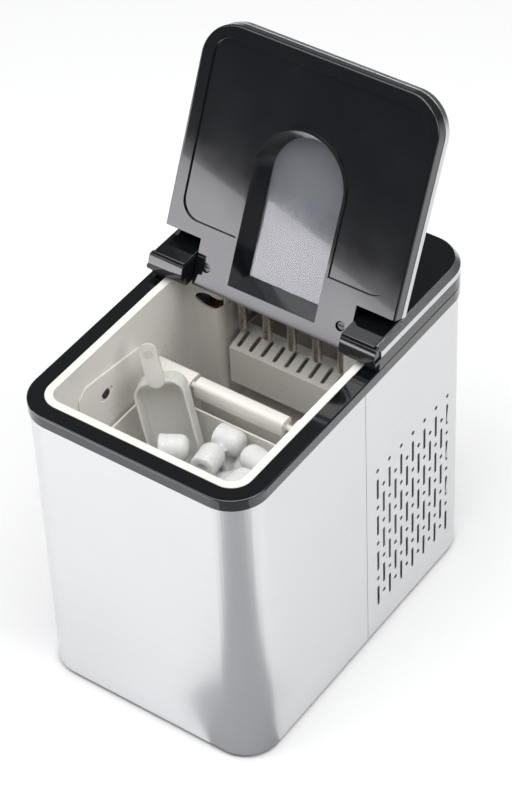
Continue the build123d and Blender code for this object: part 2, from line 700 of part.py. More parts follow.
def pin_rod(sx, grow=0.0):
    x = sx * TAB_HALF
    inner = x - sx * HINGE_PIN_LEN / 2
    outer = x + sx * (HINGE_PIN_LEN / 2 + TAB_SIDE)
    return rod_x(min(inner, outer) - grow, max(inner, outer) + grow, HINGE_Y, HINGE_Z, HINGE_PIN_R + grow)


def lid_outer_shell():
    """Glossy outer shell with the window opening and the upper half of the hinge tab."""
    inset = BAND_CHAMFER + FIT
    shell = outline_slab(BAND_T + FIT, LID_MID + 0.05, PLATE_Z0 + 0.5)
    shell += outline_slab(inset, PLATE_Z0, COVER_TOP)
    shell = fillet(shell.faces().sort_by(Axis.Z)[-1].edges(), 0.8)
    shell -= outline_slab(BAND_T + FIT + SHELL_T, LID_MID - 1, PLATE_Z0)
    shell -= block(-SIDE_X - 9, SIDE_X + 9, LID_BACK - 3, BODY_D, LID_MID - 1, COVER_TOP + 1)
    back_wall = block(-RING_W / 2 + 9, RING_W / 2 - 9, LID_BACK - 3, LID_BACK, LID_MID + 0.05, COVER_TOP)
    shell += back_wall
    tab = block(-TAB_HALF, TAB_HALF, LID_BACK - 3, HINGE_Y + TAB_R, LID_MID + 0.05, COVER_TOP)
    shell += tab & lid_plan_limit()
    shell -= block(-TAB_HALF + 8, TAB_HALF - 8, LID_BACK - 9, HINGE_Y + 6, LID_MID - 1, PLATE_Z0)
    shell -= arch(WINDOW_HALF - WINDOW_SHRINK - GLASS_LAP, WINDOW_FRONT, glass_back() - GLASS_LAP,
                  PLATE_Z0 - 1, COVER_TOP + 1)
    for sx in (-1, 1):
        shell -= pin_rod(sx, 0.02)
        shell -= rod_z(LID_Z0, LID_Z0 + 15, sx * LID_SCREW_X, LID_SCREW_Y, 1.6)
    return shell


def glass_back():
    return WINDOW_BACK - WINDOW_SHRINK


def lid_window():
    return arch(WINDOW_HALF - WINDOW_SHRINK + GLASS_LAP, WINDOW_FRONT, glass_back() + GLASS_LAP,
                GLASS_Z0, GLASS_Z1)


def lid_band():
    return band(-RING_D, LID_BACK)


def lid_screws():
    out = []
    for sx in (-1, 1):
        x = sx * LID_SCREW_X
        screw = rod_z(LID_Z0 + 2, LID_Z0 + 4, x, LID_SCREW_Y, 3.6)
        screw -= block(x - 2.5, x + 2.5, LID_SCREW_Y - 0.5, LID_SCREW_Y + 0.5, LID_Z0 + 1, LID_Z0 + 3)
        screw += rod_z(LID_Z0 + 3.5, LID_Z0 + 14, x, LID_SCREW_Y, 1.5)
        out.append(screw)
    return out


def opened(shape):
    """Turns a closed lid piece back to where the open lid rests."""
    items = shape if isinstance(shape, list) else [shape]
    return [item.rotate(HINGE, -LID_OPEN) for item in items]


# ---------------------------------------------------------------- ice making

def evaporator_tube(grow=0.0):
    (y0, _), (y1, _) = FINGER_ROWS
    points = ((EVAP_LEFT, y0, EVAP_Z), (EVAP_RIGHT, y0, EVAP_Z), (EVAP_RIGHT, y1, EVAP_Z), (EVAP_LEFT, y1, EVAP_Z))
    return tube(points, EVAP_R + grow, EVAP_BEND)


def evaporator_fingers():
    out = []
    saddle = evaporator_tube(0.02)
    for y, count in FINGER_ROWS:
        for i in range(count):
            x = (i - (count - 1) / 2) * FINGER_PITCH
            finger = rod_z(FINGER_BOTTOM, EVAP_Z, x, y, FINGER_R)
            finger = fillet(finger.edges().group_by(Axis.Z)[0], 3.0)
            out.append((finger - saddle).solids().sort_by(Axis.Z)[0])
    return out


def water_tray():
    """Trough with a slotted, sloping front apron and a plain skirt below its lip."""
    h = TRAY_HALF
    plate_z1 = TRAY_LIP_Z + TRAY_PLATE_RISE
    profile = ((TRAY_FRONT, TRAY_BOTTOM), (TRAY_FRONT, TRAY_LIP_Z), (TRAY_PLATE_BACK, plate_z1),
               (TRAY_BACK, plate_z1), (TRAY_BACK, TRAY_BOTTOM))
    body = prism_x(profile, -h, h)
    w = TRAY_WALL
    hollow = ((TRAY_FRONT + w, TRAY_BOTTOM + w), (TRAY_FRONT + w, TRAY_LIP_Z - w),
              (TRAY_PLATE_BACK, plate_z1 - w), (TRAY_PLATE_BACK, plate_z1 + 1),
              (TRAY_BACK - w, plate_z1 + 1), (TRAY_BACK - w, TRAY_BOTTOM + w))
    body -= prism_x(hollow, -h + w, h - w)
    body = fillet(body.edges().filter_by(Axis.X).group_by(Axis.Z)[0], 1.0)
    y_mid = TRAY_FRONT + 4 + TRAY_SLOT_L / 2
    for i in range(TRAY_SLOTS):
        x = (i - (TRAY_SLOTS - 1) / 2) * TRAY_SLOT_PITCH
        slot = Pos(x, y_mid, TRAY_LIP_Z - 6) * Rot(0, 0, 90) * SlotOverall(TRAY_SLOT_L, TRAY_SLOT_W)
        body -= extrude(slot, 20)
    for sx in (-1, 1):
        body -= rod_x(sx * h - 4, sx * h + 4, AXLE_Y, AXLE_Z, AXLE_R + 0.02)
    return body


def tray_axles():
    left = rod_x(-ALCOVE_HALF - 3, -TRAY_HALF + TRAY_WALL, AXLE_Y, AXLE_Z, AXLE_R)
    left += rod_x(-TRAY_HALF + TRAY_WALL, -TRAY_HALF + TRAY_WALL + 1.5, AXLE_Y, AXLE_Z, AXLE_R + 1.5)
    right = rod_x(TRAY_HALF - TRAY_WALL, ALCOVE_HALF + 12, AXLE_Y, AXLE_Z, AXLE_R)
    right += rod_x(TRAY_HALF - TRAY_WALL - 1.5, TRAY_HALF - TRAY_WALL, AXLE_Y, AXLE_Z, AXLE_R + 1.5)
    return [left, right]


def tray_motor():
    """Gear motor on the outside of the alcove wall, with a bore for the axle."""
    x0 = ALCOVE_HALF + BASIN_WALL + FIT
    body = rod_x(x0, x0 + 20, AXLE_Y + 12, AXLE_Z, 18)
    body += block(x0, x0 + 3, AXLE_Y - 5.5, AXLE_Y + 36, AXLE_Z - 8, AXLE_Z + 8)
    body += rod_x(x0 + 20, x0 + 26, AXLE_Y + 12, AXLE_Z, 9)
    return body - rod_x(x0 - 1, ALCOVE_HALF + 13, AXLE_Y, AXLE_Z, AXLE_R + AXLE_RUN)


def ice_gate():
    """Chamfered bar that swings on two pins, with a thin blade hanging under it."""
    bar = block(-GATE_HALF, GATE_HALF, GATE_Y - GATE_D / 2, GATE_Y + GATE_D / 2,
                GATE_Z - GATE_H / 2, GATE_Z + GATE_H / 2)
    bar = chamfer(bar.edges().filter_by(Axis.X), 3.5)
    bar = fillet(bar.edges().group_by(Axis.X)[0] + bar.edges().group_by(Axis.X)[-1], 1.2)
    bar += block(-GATE_HALF + 3, GATE_HALF - 3, GATE_Y - GATE_BLADE_T / 2, GATE_Y + GATE_BLADE_T / 2,
                 GATE_BLADE_LOW, GATE_Z)
    gap = BLOCK_INNER - GATE_HALF
    for sx in (-1, 1):
        end = sx * (GATE_HALF + gap + GATE_PIN_LEN - 1)
        bar += rod_x(min(sx * (GATE_HALF - 2), end), max(sx * (GATE_HALF - 2), end),
                     GATE_Y, GATE_Z, GATE_PIN_R)
    return bar


def water_spout():
    spout = rod_y(ALCOVE_BACK - 14, ALCOVE_BACK + BASIN_WALL + 8, SPOUT_X, SPOUT_Z, SPOUT_R)
    spout += rod_y(ALCOVE_BACK + BASIN_WALL + 0.1, ALCOVE_BACK + BASIN_WALL + 2, SPOUT_X, SPOUT_Z, SPOUT_R + 2)
    return spout - rod_y(ALCOVE_BACK - 15, ALCOVE_BACK + BASIN_WALL + 9, SPOUT_X, SPOUT_Z, SPOUT_R - 1.4)


# ---------------------------------------------------------------- basket, ice, scoop

def ice_basket():
    w = 2 * BASKET_HALF
    d = BASKET_BACK - BASKET_FRONT
    y = (BASKET_BACK + BASKET_FRONT) / 2
    t = BASKET_WALL
    basket = slab(w, d, BASKET_R, BASKET_LOW, BASKET_TOP, y)
    basket = fillet(basket.edges().group_by(Axis.Z)[0], 2.0)
    basket -= slab(w - 2 * t, d - 2 * t, BASKET_R - t, BASKET_LOW + t, BASKET_TOP + 1, y)
    for ix in range(9):
        for iy in range(3):
            slot = Pos((ix - 4) * 19, y + (iy - 1) * 40, BASKET_LOW - 1) * Rot(0, 0, 90) * SlotOverall(30, 4)
            basket -= extrude(slot, t + 2)
    return basket


def ice_bullet():
    """Hollow bullet of ice, standing on its open end with the round end up."""
    bullet = rod_z(0, ICE_LEN, 0, 0, ICE_R)
    bullet = fillet(bullet.edges().group_by(Axis.Z)[-1], ICE_DOME)
    bullet = fillet(bullet.edges().group_by(Axis.Z)[0], 1.0)
    bore = rod_z(-1, ICE_LEN - ICE_CAP, 0, 0, ICE_BORE)
    return bullet - fillet(bore.edges().group_by(Axis.Z)[-1], 3.0)


# bullets of the upper layer: x, y, heading of the round end in degrees
TOP_ICE = (
    (26.0, -39.0, 15.0), (57.0, -41.0, 170.0), (76.0, -68.0, 80.0),
    (12.0, -70.0, 230.0), (44.0, -76.0, 310.0), (72.0, -100.0, 100.0),
    (14.0, -104.0, 45.0), (43.0, -109.0, 200.0), (72.0, -130.0, 10.0),
    (16.0, -133.5, 170.0), (-18.0, -122.0, 100.0), (-1.0, -39.0, 90.0),
)


HEAP_ICE = (
    (-33.0, -71.5, 31.0), (1.5, -66.0, 98.0), (4.0, -37.5, 0.0), (36.9, -45.2, 170.0),
    (9.0, -98.0, 10.0), (42.0, -76.0, 80.0), (73.0, -58.0, 100.0),
)


def ice_pieces():
    floor = BASKET_LOW + BASKET_WALL + ICE_GAP
    d = BASKET_BACK - BASKET_FRONT
    cols = int((2 * BASKET_HALF - 2 * BASKET_WALL - 6) // (2 * ICE_R + 4))
    rows = int((d - 2 * BASKET_WALL - 6) // (2 * ICE_R + 4))
    y_mid = (BASKET_BACK + BASKET_FRONT) / 2
    out = []
    for i in range(cols):
        for j in range(rows):
            x = (i - (cols - 1) / 2) * (2 * ICE_R + 4.5)
            y = y_mid + (j - (rows - 1) / 2) * (2 * ICE_R + 5)
            out.append(Pos(x, y, floor) * ice_bullet())
    lying = floor + ICE_LEN + ICE_R + ICE_GAP
    for x, y, heading in TOP_ICE:
        piece = Rot(0, 0, heading) * Rot(0, 90, 0) * Pos(0, 0, -ICE_LEN / 2) * ice_bullet()
        out.append(Pos(x, y, lying) * piece)
    heaped = lying + 2 * ICE_R + ICE_GAP
    for x, y, heading in HEAP_ICE:
        piece = Rot(0, 0, heading) * Rot(0, 90, 0) * Pos(0, 0, -ICE_LEN / 2) * ice_bullet()
        out.append(Pos(x, y, heaped) * piece)
    return out


def scoop():
    """Shallow scoop leaning in the basket, open at its lower end, with a finger hole in the handle."""
    plane = Plane(SCOOP_TOP, x_dir=SCOOP_ACROSS, z_dir=SCOOP_FACE)
    t = SCOOP_WALL
    over = 12.0
    outer = Pos(0, -(SCOOP_L + over) / 2) * RectangleRounded(SCOOP_W, SCOOP_L + over, SCOOP_R)
    inner = Pos(0, -(SCOOP_L + over) / 2) * RectangleRounded(SCOOP_W - 2 * t, SCOOP_L + over - 2 * t, SCOOP_R - t)
    bowl = extrude(Pos(0, 0, -SCOOP_DEPTH) * outer, SCOOP_DEPTH + t)
    bowl = fillet(bowl.edges().group_by(Axis.Z)[0], SCOOP_FLOOR_R)
    hollow = extrude(Pos(0, 0, t - SCOOP_DEPTH) * inner, SCOOP_DEPTH + 1)
    bowl -= fillet(hollow.edges().group_by(Axis.Z)[0], SCOOP_FLOOR_R - t)
    bowl &= Pos(0, -SCOOP_L / 2, -SCOOP_DEPTH / 2) * Box(SCOOP_W + 9, SCOOP_L, SCOOP_DEPTH + 9)
    handle_face = Pos(0, SCOOP_HANDLE_L / 2 - 3) * RectangleRounded(
        SCOOP_HANDLE_W, SCOOP_HANDLE_L + 6, SCOOP_HANDLE_W / 2 - 0.5)
    handle = extrude(Pos(0, 0, t - 3.2) * handle_face, 3.2)
    handle -= Pos(0, SCOOP_HANDLE_L - 11, 0) * Cylinder(SCOOP_HOLE_R, 20)
    return plane * (bowl + handle)


# ---------------------------------------------------------------- machinery

def compressor():
    """Sealed compressor can with its foot plate and stubs."""
    can = rod_z(COMP_LOW, COMP_TOP, COMP_X, COMP_Y, COMP_R)
    can = fillet(can.edges().filter_by(GeomType.CIRCLE), 20.0)
    can += rod_z(78, 81, COMP_X, COMP_Y, COMP_R + 1.2)
    can += Pos(COMP_X, COMP_Y, FOOTPLATE_Z) * extrude(RectangleRounded(92, 92, 12), 3)
    can += rod_z(FOOTPLATE_Z + 1, COMP_LOW + 9, COMP_X, COMP_Y, COMP_R - 18)
    can += rod_x(COMP_X - COMP_R - 8, COMP_X, COMP_Y, SUCTION_IN_Z, SUCTION_R)
    can += rod_z(COMP_TOP - 20, COMP_TOP + 12, VALVE[0], VALVE[1], PIPE_R)
    for x, y in grommet_places():
        can -= rod_z(FOOTPLATE_Z - 1, FOOTPLATE_Z + 4, x, y, 4.2)
    return can


FOOTPLATE_Z = 15.0
SUCTION_IN_Z = 100.0


def grommet_places():
    return [(COMP_X + sx * 37, COMP_Y + sy * 37) for sx in (-1, 1) for sy in (-1, 1)]


def compressor_grommets():
    out = []
    for x, y in grommet_places():
        post = rod_z(PAN_TOP, FOOTPLATE_Z - 0.1, x, y, 7.5)
        post += rod_z(PAN_TOP + 1, FOOTPLATE_Z + 3.1, x, y, 4.0)
        post += rod_z(FOOTPLATE_Z + 3.1, FOOTPLATE_Z + 5, x, y, 6.5)
        out.append(post)
    return out


def condenser():
    """Fin pack behind the right grille, with end plates, return bends and two stubs."""
    y0, y1 = CONDENSER_Y0, CONDENSER_Y1
    x0, x1 = CONDENSER_X0, CONDENSER_X1
    mid = (x0 + x1) / 2
    core = block(x0, x1, y0 + 6, y1 - 6, CONDENSER_Z0, CONDENSER_Z1)
    for z in range(int(CONDENSER_Z0) + 15, int(CONDENSER_Z1) - 8, 24):
        core += rod_y(y0, y1, mid, z, PIPE_R)
    core += rod_x(x0 - 7, mid, VALVE[1], VALVE[2], PIPE_R)
    core += rod_z(CONDENSER_Z0 - 6, CONDENSER_Z0 + 4, mid, y1 - 10, PIPE_R)
    for y in (y0 + 12, y1 - 26):
        core += block(x0 + 4, x1 - 4, y - 4, y + 4, PAN_TOP, CONDENSER_Z0 + 1)
    return core


def fan_shroud():
    y_mid = fan_y()
    half = (CONDENSER_Y1 - CONDENSER_Y0) / 2
    x1 = CONDENSER_X0 - 0.3
    shell = block(SHROUD_X0, x1, y_mid - half, y_mid + half, FAN_Z - half, FAN_Z + half)
    shell -= rod_x(SHROUD_X0 + 3, x1 + 1, y_mid, FAN_Z, FAN_BORE)
    shell -= rod_x(SHROUD_X0 - 1, x1 + 1, y_mid, FAN_Z, FAN_BORE - 1)
    arm = block(SHROUD_X0, SHROUD_X0 + 3, y_mid - FAN_BORE, y_mid + FAN_BORE, FAN_Z - 4, FAN_Z + 4)
    arm += block(SHROUD_X0, SHROUD_X0 + 3, y_mid - 4, y_mid + 4, FAN_Z - FAN_BORE, FAN_Z + FAN_BORE)
    shell += arm
    shell += rod_x(SHROUD_X0, SHROUD_X0 + 3, y_mid, FAN_Z, 18)
    return shell - rod_x(SHROUD_X0 - 1, SHROUD_X0 + 4, y_mid, FAN_Z, FAN_SHAFT_R + 1)


def fan_y():
    return (CONDENSER_Y0 + CONDENSER_Y1) / 2


def fan_motor():
    y = fan_y()
    body = rod_x(SHROUD_X0 - 20, SHROUD_X0 - 0.1, y, FAN_Z, 17)
    body = fillet(body.edges().group_by(Axis.X)[0], 3)
    return body + rod_x(SHROUD_X0 - 1, SHROUD_X0 + 14, y, FAN_Z, FAN_SHAFT_R)


def fan_blade():
    """Five-blade rotor on the motor shaft."""
    y = fan_y()
    x0 = SHROUD_X0 + 5
    rotor = rod_x(x0, x0 + 13, y, FAN_Z, FAN_HUB_R)
    blade = Pos(0, 0, FAN_HUB_R - 2) * extrude(Rot(0, 0, 32) * RectangleRounded(2.0, 17, 0.9),
                                               FAN_R - FAN_HUB_R + 1)
    for i in range(5):
        turned = Rot(72 * i, 0, 0) * blade
        rotor += Pos(x0 + 6.5, y, FAN_Z) * turned
    return rotor - rod_x(x0 - 1, SHROUD_X0 + 14.5, y, FAN_Z, FAN_SHAFT_R + AXLE_RUN)


def filter_dryer():
    can = rod_z(70, 126, DRYER_X, DRYER_Y, DRYER_R)
    can = chamfer(can.edges(), 4)
    return can + rod_z(62, 134, DRYER_X, DRYER_Y, PIPE_R)


def dryer_clip():
    """Strap that holds the dryer to the rear panel."""
    clip = rod_z(92, 104, DRYER_X, DRYER_Y, DRYER_R + 1.7) - rod_z(91, 105, DRYER_X, DRYER_Y, DRYER_R + 0.1)
    tongue = block(DRYER_X - 5, DRYER_X + 5, DRYER_Y + DRYER_R + 0.6, dryer_wall_y(), 92, 104)
    return clip + tongue


def dryer_wall_y():
    """Inner face of the rear corner above the dryer, less a fitting gap."""
    cx = SIDE_X - BODY_R
    cy = BODY_BACK - BODY_R
    r = BODY_R - SHEET_T
    dx = max(abs(DRYER_X) + 5 - cx, 0)
    return cy + math.sqrt(r * r - dx * dx) - 0.3


def suction_tube():
    y1 = FINGER_ROWS[1][0]
    x = -98.0
    end = COMP_X - COMP_R - 8 - JOINT_GAP
    points = ((EVAP_LEFT - JOINT_GAP, y1, EVAP_Z), (x, y1, EVAP_Z), (x, y1, 125),
              (x, COMP_Y, SUCTION_IN_Z), (end, COMP_Y, SUCTION_IN_Z))
    return tube(points, SUCTION_R, 9)


def hot_gas_tube():
    y0 = FINGER_ROWS[0][0]
    x = -86.0
    points = ((VALVE[0] - 10 - JOINT_GAP, VALVE[1], VALVE[2]), (x, VALVE[1], VALVE[2]), (x, y0, VALVE[2]),
              (x, y0, EVAP_Z), (EVAP_LEFT - JOINT_GAP, y0, EVAP_Z))
    return tube(points, PIPE_R, 8)


def discharge_tube():
    return rod_z(COMP_TOP + 12 + JOINT_GAP, VALVE[2] - 12 - JOINT_GAP, VALVE[0], VALVE[1], PIPE_R)


def condenser_tube():
    return rod_x(VALVE[0] + 10 + JOINT_GAP, CONDENSER_X0 - 7 - JOINT_GAP, VALVE[1], VALVE[2], PIPE_R)


def liquid_tube():
    mid = (CONDENSER_X0 + CONDENSER_X1) / 2
    y = CONDENSER_Y1 - 10
    z = 18.0
    y_run = 168.0
    points = ((mid, y, CONDENSER_Z0 - 6 - JOINT_GAP), (mid, y, z), (mid - 6, y_run, z), (DRYER_X, y_run, z),
              (DRYER_X, DRYER_Y, z), (DRYER_X, DRYER_Y, 62 - JOINT_GAP))
    return tube(points, PIPE_R - 0.5, 8)


def capillary_tube():
    y0 = FINGER_ROWS[0][0]
    x = -110.0
    points = ((DRYER_X, DRYER_Y, 134 + JOINT_GAP), (DRYER_X, DRYER_Y, 150), (x, DRYER_Y - 6, 166),
              (x, DRYER_Y - 6, 262), (x, y0, 270), (-86.0 - PIPE_R - JOINT_GAP, y0, 270))
    return tube(points, CAPILLARY_R, 6)


def hot_gas_valve():
    """Three-way valve body with its coil, between compressor, condenser and evaporator."""
    x, y, z = VALVE
    body = block(x - 10, x + 10, y - 10, y + 10, z - 12, z + 12)
    body = fillet(body.edges().filter_by(Axis.Z), 3)
    body += rod_z(z + 11, z + 34, x, y, 4)
    return body + rod_z(z + 14, z + 32, x, y, 15)


def water_pump():
    body = rod_z(PAN_TOP + 0.1, 42, PUMP_X, PUMP_Y, 19)
    body = fillet(body.edges().group_by(Axis.Z)[-1], 3)
    body += rod_z(41, 50, PUMP_X, PUMP_Y, HOSE_R)
    return body + rod_y(PUMP_Y, PUMP_Y + 26, SPOUT_X, 30, HOSE_R)


def pump_inlet_hose():
    points = ((PUMP_X, CHAMBER_BACK + 0.2, PORT_Z), (PUMP_X, PUMP_Y, PORT_Z), (PUMP_X, PUMP_Y, 50 + JOINT_GAP))
    return tube(points, HOSE_R, 14)


def water_hose():
    start = ALCOVE_BACK + BASIN_WALL + 8 + JOINT_GAP
    points = ((SPOUT_X, start, SPOUT_Z), (SPOUT_X, 152, SPOUT_Z), (SPOUT_X, 152, 30),
              (SPOUT_X, PUMP_Y + 26 + JOINT_GAP, 30))
    return tube(points, HOSE_R, 14)


def drain_hose():
    points = ((DRAIN_X, DRAIN_PORT_Y, CHAMBER_FLOOR - 1), (DRAIN_X, DRAIN_PORT_Y, DRAIN_Z),
              (DRAIN_X, DRAIN_BACK - 14 - JOINT_GAP, DRAIN_Z))
    return tube(points, HOSE_R, 14)


DRAIN_BACK = INNER_BACK - 6.0


def drain_spout():
    """Spout behind the back panel that the drain plug pushes into."""
    body = rod_y(DRAIN_BACK - 14, INNER_BACK - 4, DRAIN_X, DRAIN_Z, DRAIN_BORE + 2.2)
    body += rod_y(INNER_BACK - 5, INNER_BACK - 0.1, DRAIN_X, DRAIN_Z, DRAIN_HEAD_R + 4)
    body -= rod_y(INNER_BACK - 3.5, INNER_BACK + 1, DRAIN_X, DRAIN_Z, DRAIN_HEAD_R + 0.6)
    return body - rod_y(DRAIN_BACK - 12, INNER_BACK, DRAIN_X, DRAIN_Z, DRAIN_BORE)


def drain_plug():
    head = rod_y(INNER_BACK - 3.2, BODY_BACK + 1.2, DRAIN_X, DRAIN_Z, DRAIN_HEAD_R)
    head = fillet(head.edges().group_by(Axis.Y)[-1], 0.8)
    grip = block(DRAIN_X - 8, DRAIN_X - 3, BODY_BACK - 0.4, BODY_BACK + 2, DRAIN_Z - 20, DRAIN_Z + 20)
    grip += block(DRAIN_X + 3, DRAIN_X + 8, BODY_BACK - 0.4, BODY_BACK + 2, DRAIN_Z - 20, DRAIN_Z + 20)
    return (head - grip) + rod_y(DRAIN_BACK - 8, INNER_BACK - 3, DRAIN_X, DRAIN_Z, DRAIN_BORE - 0.05)


def main():
    save("feet", feet())
    save("base_pan", base_pan())
    save("front_wrap", front_wrap())
    right = side_panel()
    save("side_panel_right", right)
    save("side_panel_left", right.mirror(Plane.YZ))
    save("back_panel", back_panel())
    save("back_screws", back_screws())
    save("cord_gland", cord_gland())
    save("top_ring", top_ring())
    save("basin_liner", basin_liner())
    save("insulation", insulation())
    save("sensor_covers", sensor_covers())
    save("ir_sensors", ir_sensors())
    save("gate_blocks", gate_blocks())
    save("level_sensor", level_sensor())
    save("rear_cover", rear_cover())
    save("cover_band", cover_band())
    save("cover_top_plate", cover_top_plate())
    save("control_overlay", control_overlay())
    save("indicator_leds", indicator_leds())
    save("power_button", button(1))
    save("select_button", button(-1))
    save("button_board", button_board())
    save("lid_inner_panel", opened(lid_inner_panel()))
    save("lid_outer_shell", opened(lid_outer_shell()))
    save("lid_window", opened(lid_window()))
    save("lid_band", opened(lid_band()))
    save("lid_hinge_pins", opened([pin_rod(1), pin_rod(-1)]))
    save("lid_screws", opened(lid_screws()))
    save("evaporator_tube", evaporator_tube())
    save("evaporator_fingers", evaporator_fingers())
    save("water_tray", water_tray())
    save("tray_axles", tray_axles())
    save("tray_motor", tray_motor())
    save("ice_gate", ice_gate())
    save("water_spout", water_spout())
    save("ice_basket", ice_basket())
    save("ice_pieces", ice_pieces())
    save("scoop", scoop())
    save("compressor", compressor())
    save("compressor_grommets", compressor_grommets())
    save("condenser", condenser())
    save("fan_shroud", fan_shroud())
    save("fan_motor", fan_motor())
    save("fan_blade", fan_blade())
    save("filter_dryer", filter_dryer())
    save("dryer_clip", dryer_clip())
    save("suction_tube", suction_tube())
    save("hot_gas_tube", hot_gas_tube())
    save("discharge_tube", discharge_tube())
    save("condenser_tube", condenser_tube())
    save("liquid_tube", liquid_tube())
    save("capillary_tube", capillary_tube())
    save("hot_gas_valve", hot_gas_valve())
    save("water_pump", water_pump())
    save("pump_inlet_hose", pump_inlet_hose())
    save("water_hose", water_hose())
    save("drain_hose", drain_hose())
    save("drain_spout", drain_spout())
    save("drain_plug", drain_plug())


main()
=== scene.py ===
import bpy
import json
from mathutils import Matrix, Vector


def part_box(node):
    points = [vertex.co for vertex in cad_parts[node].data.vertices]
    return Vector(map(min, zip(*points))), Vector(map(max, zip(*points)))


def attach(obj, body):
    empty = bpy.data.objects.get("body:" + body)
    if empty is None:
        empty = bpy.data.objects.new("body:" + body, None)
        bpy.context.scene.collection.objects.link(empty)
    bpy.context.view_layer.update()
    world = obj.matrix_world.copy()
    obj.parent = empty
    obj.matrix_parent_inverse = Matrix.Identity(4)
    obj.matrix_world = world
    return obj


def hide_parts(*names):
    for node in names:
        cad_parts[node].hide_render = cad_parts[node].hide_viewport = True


bl_info = {
    "name": "Countertop Ice Maker Looks",
    "version": (1, 0, 0),
    "blender": (4, 5, 0),
    "location": "3D View > Sidebar > Ice Maker",
    "description": "Finishes and fine pieces for a countertop ice maker with an open lid",
    "category": "Object",
}

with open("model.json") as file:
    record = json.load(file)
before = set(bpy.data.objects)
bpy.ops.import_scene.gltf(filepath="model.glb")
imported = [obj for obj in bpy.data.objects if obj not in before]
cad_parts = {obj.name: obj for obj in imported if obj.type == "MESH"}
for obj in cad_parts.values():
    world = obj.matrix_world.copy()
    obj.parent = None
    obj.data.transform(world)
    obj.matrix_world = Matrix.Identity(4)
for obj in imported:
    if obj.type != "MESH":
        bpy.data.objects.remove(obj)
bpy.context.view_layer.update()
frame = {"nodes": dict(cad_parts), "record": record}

import json
import math

import bmesh
import bpy
from bpy.props import FloatProperty, FloatVectorProperty, IntProperty, PointerProperty
from mathutils import Matrix, Vector, noise

MM = 0.001

# Condenser core, within the box that the CAD node gives.
CORE_DEPTH = 18 * MM
CORE_HEIGHT = 175 * MM
END_PLATE = 1.2 * MM
BEND_ROOM = 6 * MM
COIL_R = 3.0 * MM
FIN_INSET = 1 * MM
INLET_Y, INLET_Z = 140 * MM, 205 * MM
OUTLET_DROP, OUTLET_RISE = 6 * MM, 4 * MM
LEG_FRONT, LEG_BACK = 12 * MM, 26 * MM
LEG_HALF = 4 * MM

# Edges turning by more than this stay crisp or are softened, in degrees.
CRISP_ANGLE = 32.0

# Direction in which the open lid mirrors the camera's view, and level across it.
LID_MIRROR = (-0.4367, -0.8991, -0.0261)
LID_ACROSS = (0.8991, -0.4367, 0.0)
LID_MIDDLE_Y = 0.09
LID_CARD_WIDTH, LID_CARD_DEPTH = 1.0, 0.45

# Dark strip on the floor, seen by the near corner.
CORNER_START = (0.10, -0.155, 0.003)
CORNER_REACH = 0.7
CORNER_NEAR_HALF, CORNER_FAR_HALF = 0.10, 0.42

FLOOR_HALF = 12.0
RECORD = frame["record"]
NODE_SLOT = {p["node"]: p["material_slot"] for p in RECORD["subparts"]}
NODE_BODY = {n: body for body, nodes in RECORD["behaviour"]["bodies"].items() for n in nodes}


def colour_property(name, description, default):
    return FloatVectorProperty(name=name, description=description, default=default,
                               subtype="COLOR", size=3, min=0.0, max=1.0)


class IceMakerFinishes(bpy.types.PropertyGroup):
    """Colours of the finishes."""
    steel: colour_property("Steel", "Brushed body panels", (0.70, 0.705, 0.715))
    black: colour_property("Black", "Glossy black plastic", (0.004, 0.005, 0.006))
    satin_black: colour_property("Satin black", "Lid pan and rear cover", (0.006, 0.007, 0.009))
    trim: colour_property("Trim", "Bright edge bands", (0.62, 0.63, 0.65))
    liner: colour_property("Liner", "White plastic of the basin", (0.80, 0.775, 0.73))
    milky: colour_property("Milky plastic", "Scoop", (0.93, 0.92, 0.88))
    ice: colour_property("Ice", "Frosted ice", (0.84, 0.85, 0.84))
    window: colour_property("Window", "Tinted lid window", (0.86, 0.88, 0.98))
    copper: colour_property("Copper", "Refrigerant pipes", (0.72, 0.36, 0.22))
    nickel: colour_property("Nickel", "Plated evaporator", (0.66, 0.62, 0.55))


class IceMakerDetail(bpy.types.PropertyGroup):
    """Sizes of the fine work."""
    edge: FloatProperty(name="Edge rounding", description="Rounding of moulded edges",
                        default=0.5 * MM, unit="LENGTH")
    thin_edge: FloatProperty(name="Thin edge rounding", description="Rounding of sheet edges",
                             default=0.2 * MM, unit="LENGTH")
    ice_grain: FloatProperty(name="Ice grain", description="Voxel size of the melted ice surface",
                             default=1.5 * MM, unit="LENGTH")
    ice_melt: FloatProperty(name="Ice melt", description="Depth of the melted unevenness",
                            default=0.5 * MM, unit="LENGTH")
    fin_pitch: FloatProperty(name="Fin pitch", description="Distance between condenser fins",
                             default=2.2 * MM, unit="LENGTH")
    fin_thick: FloatProperty(name="Fin thickness", description="Thickness of a condenser fin",
                             default=0.35 * MM, unit="LENGTH")
    coil_rows: IntProperty(name="Coil rows", description="Runs of tube in the condenser", default=7)


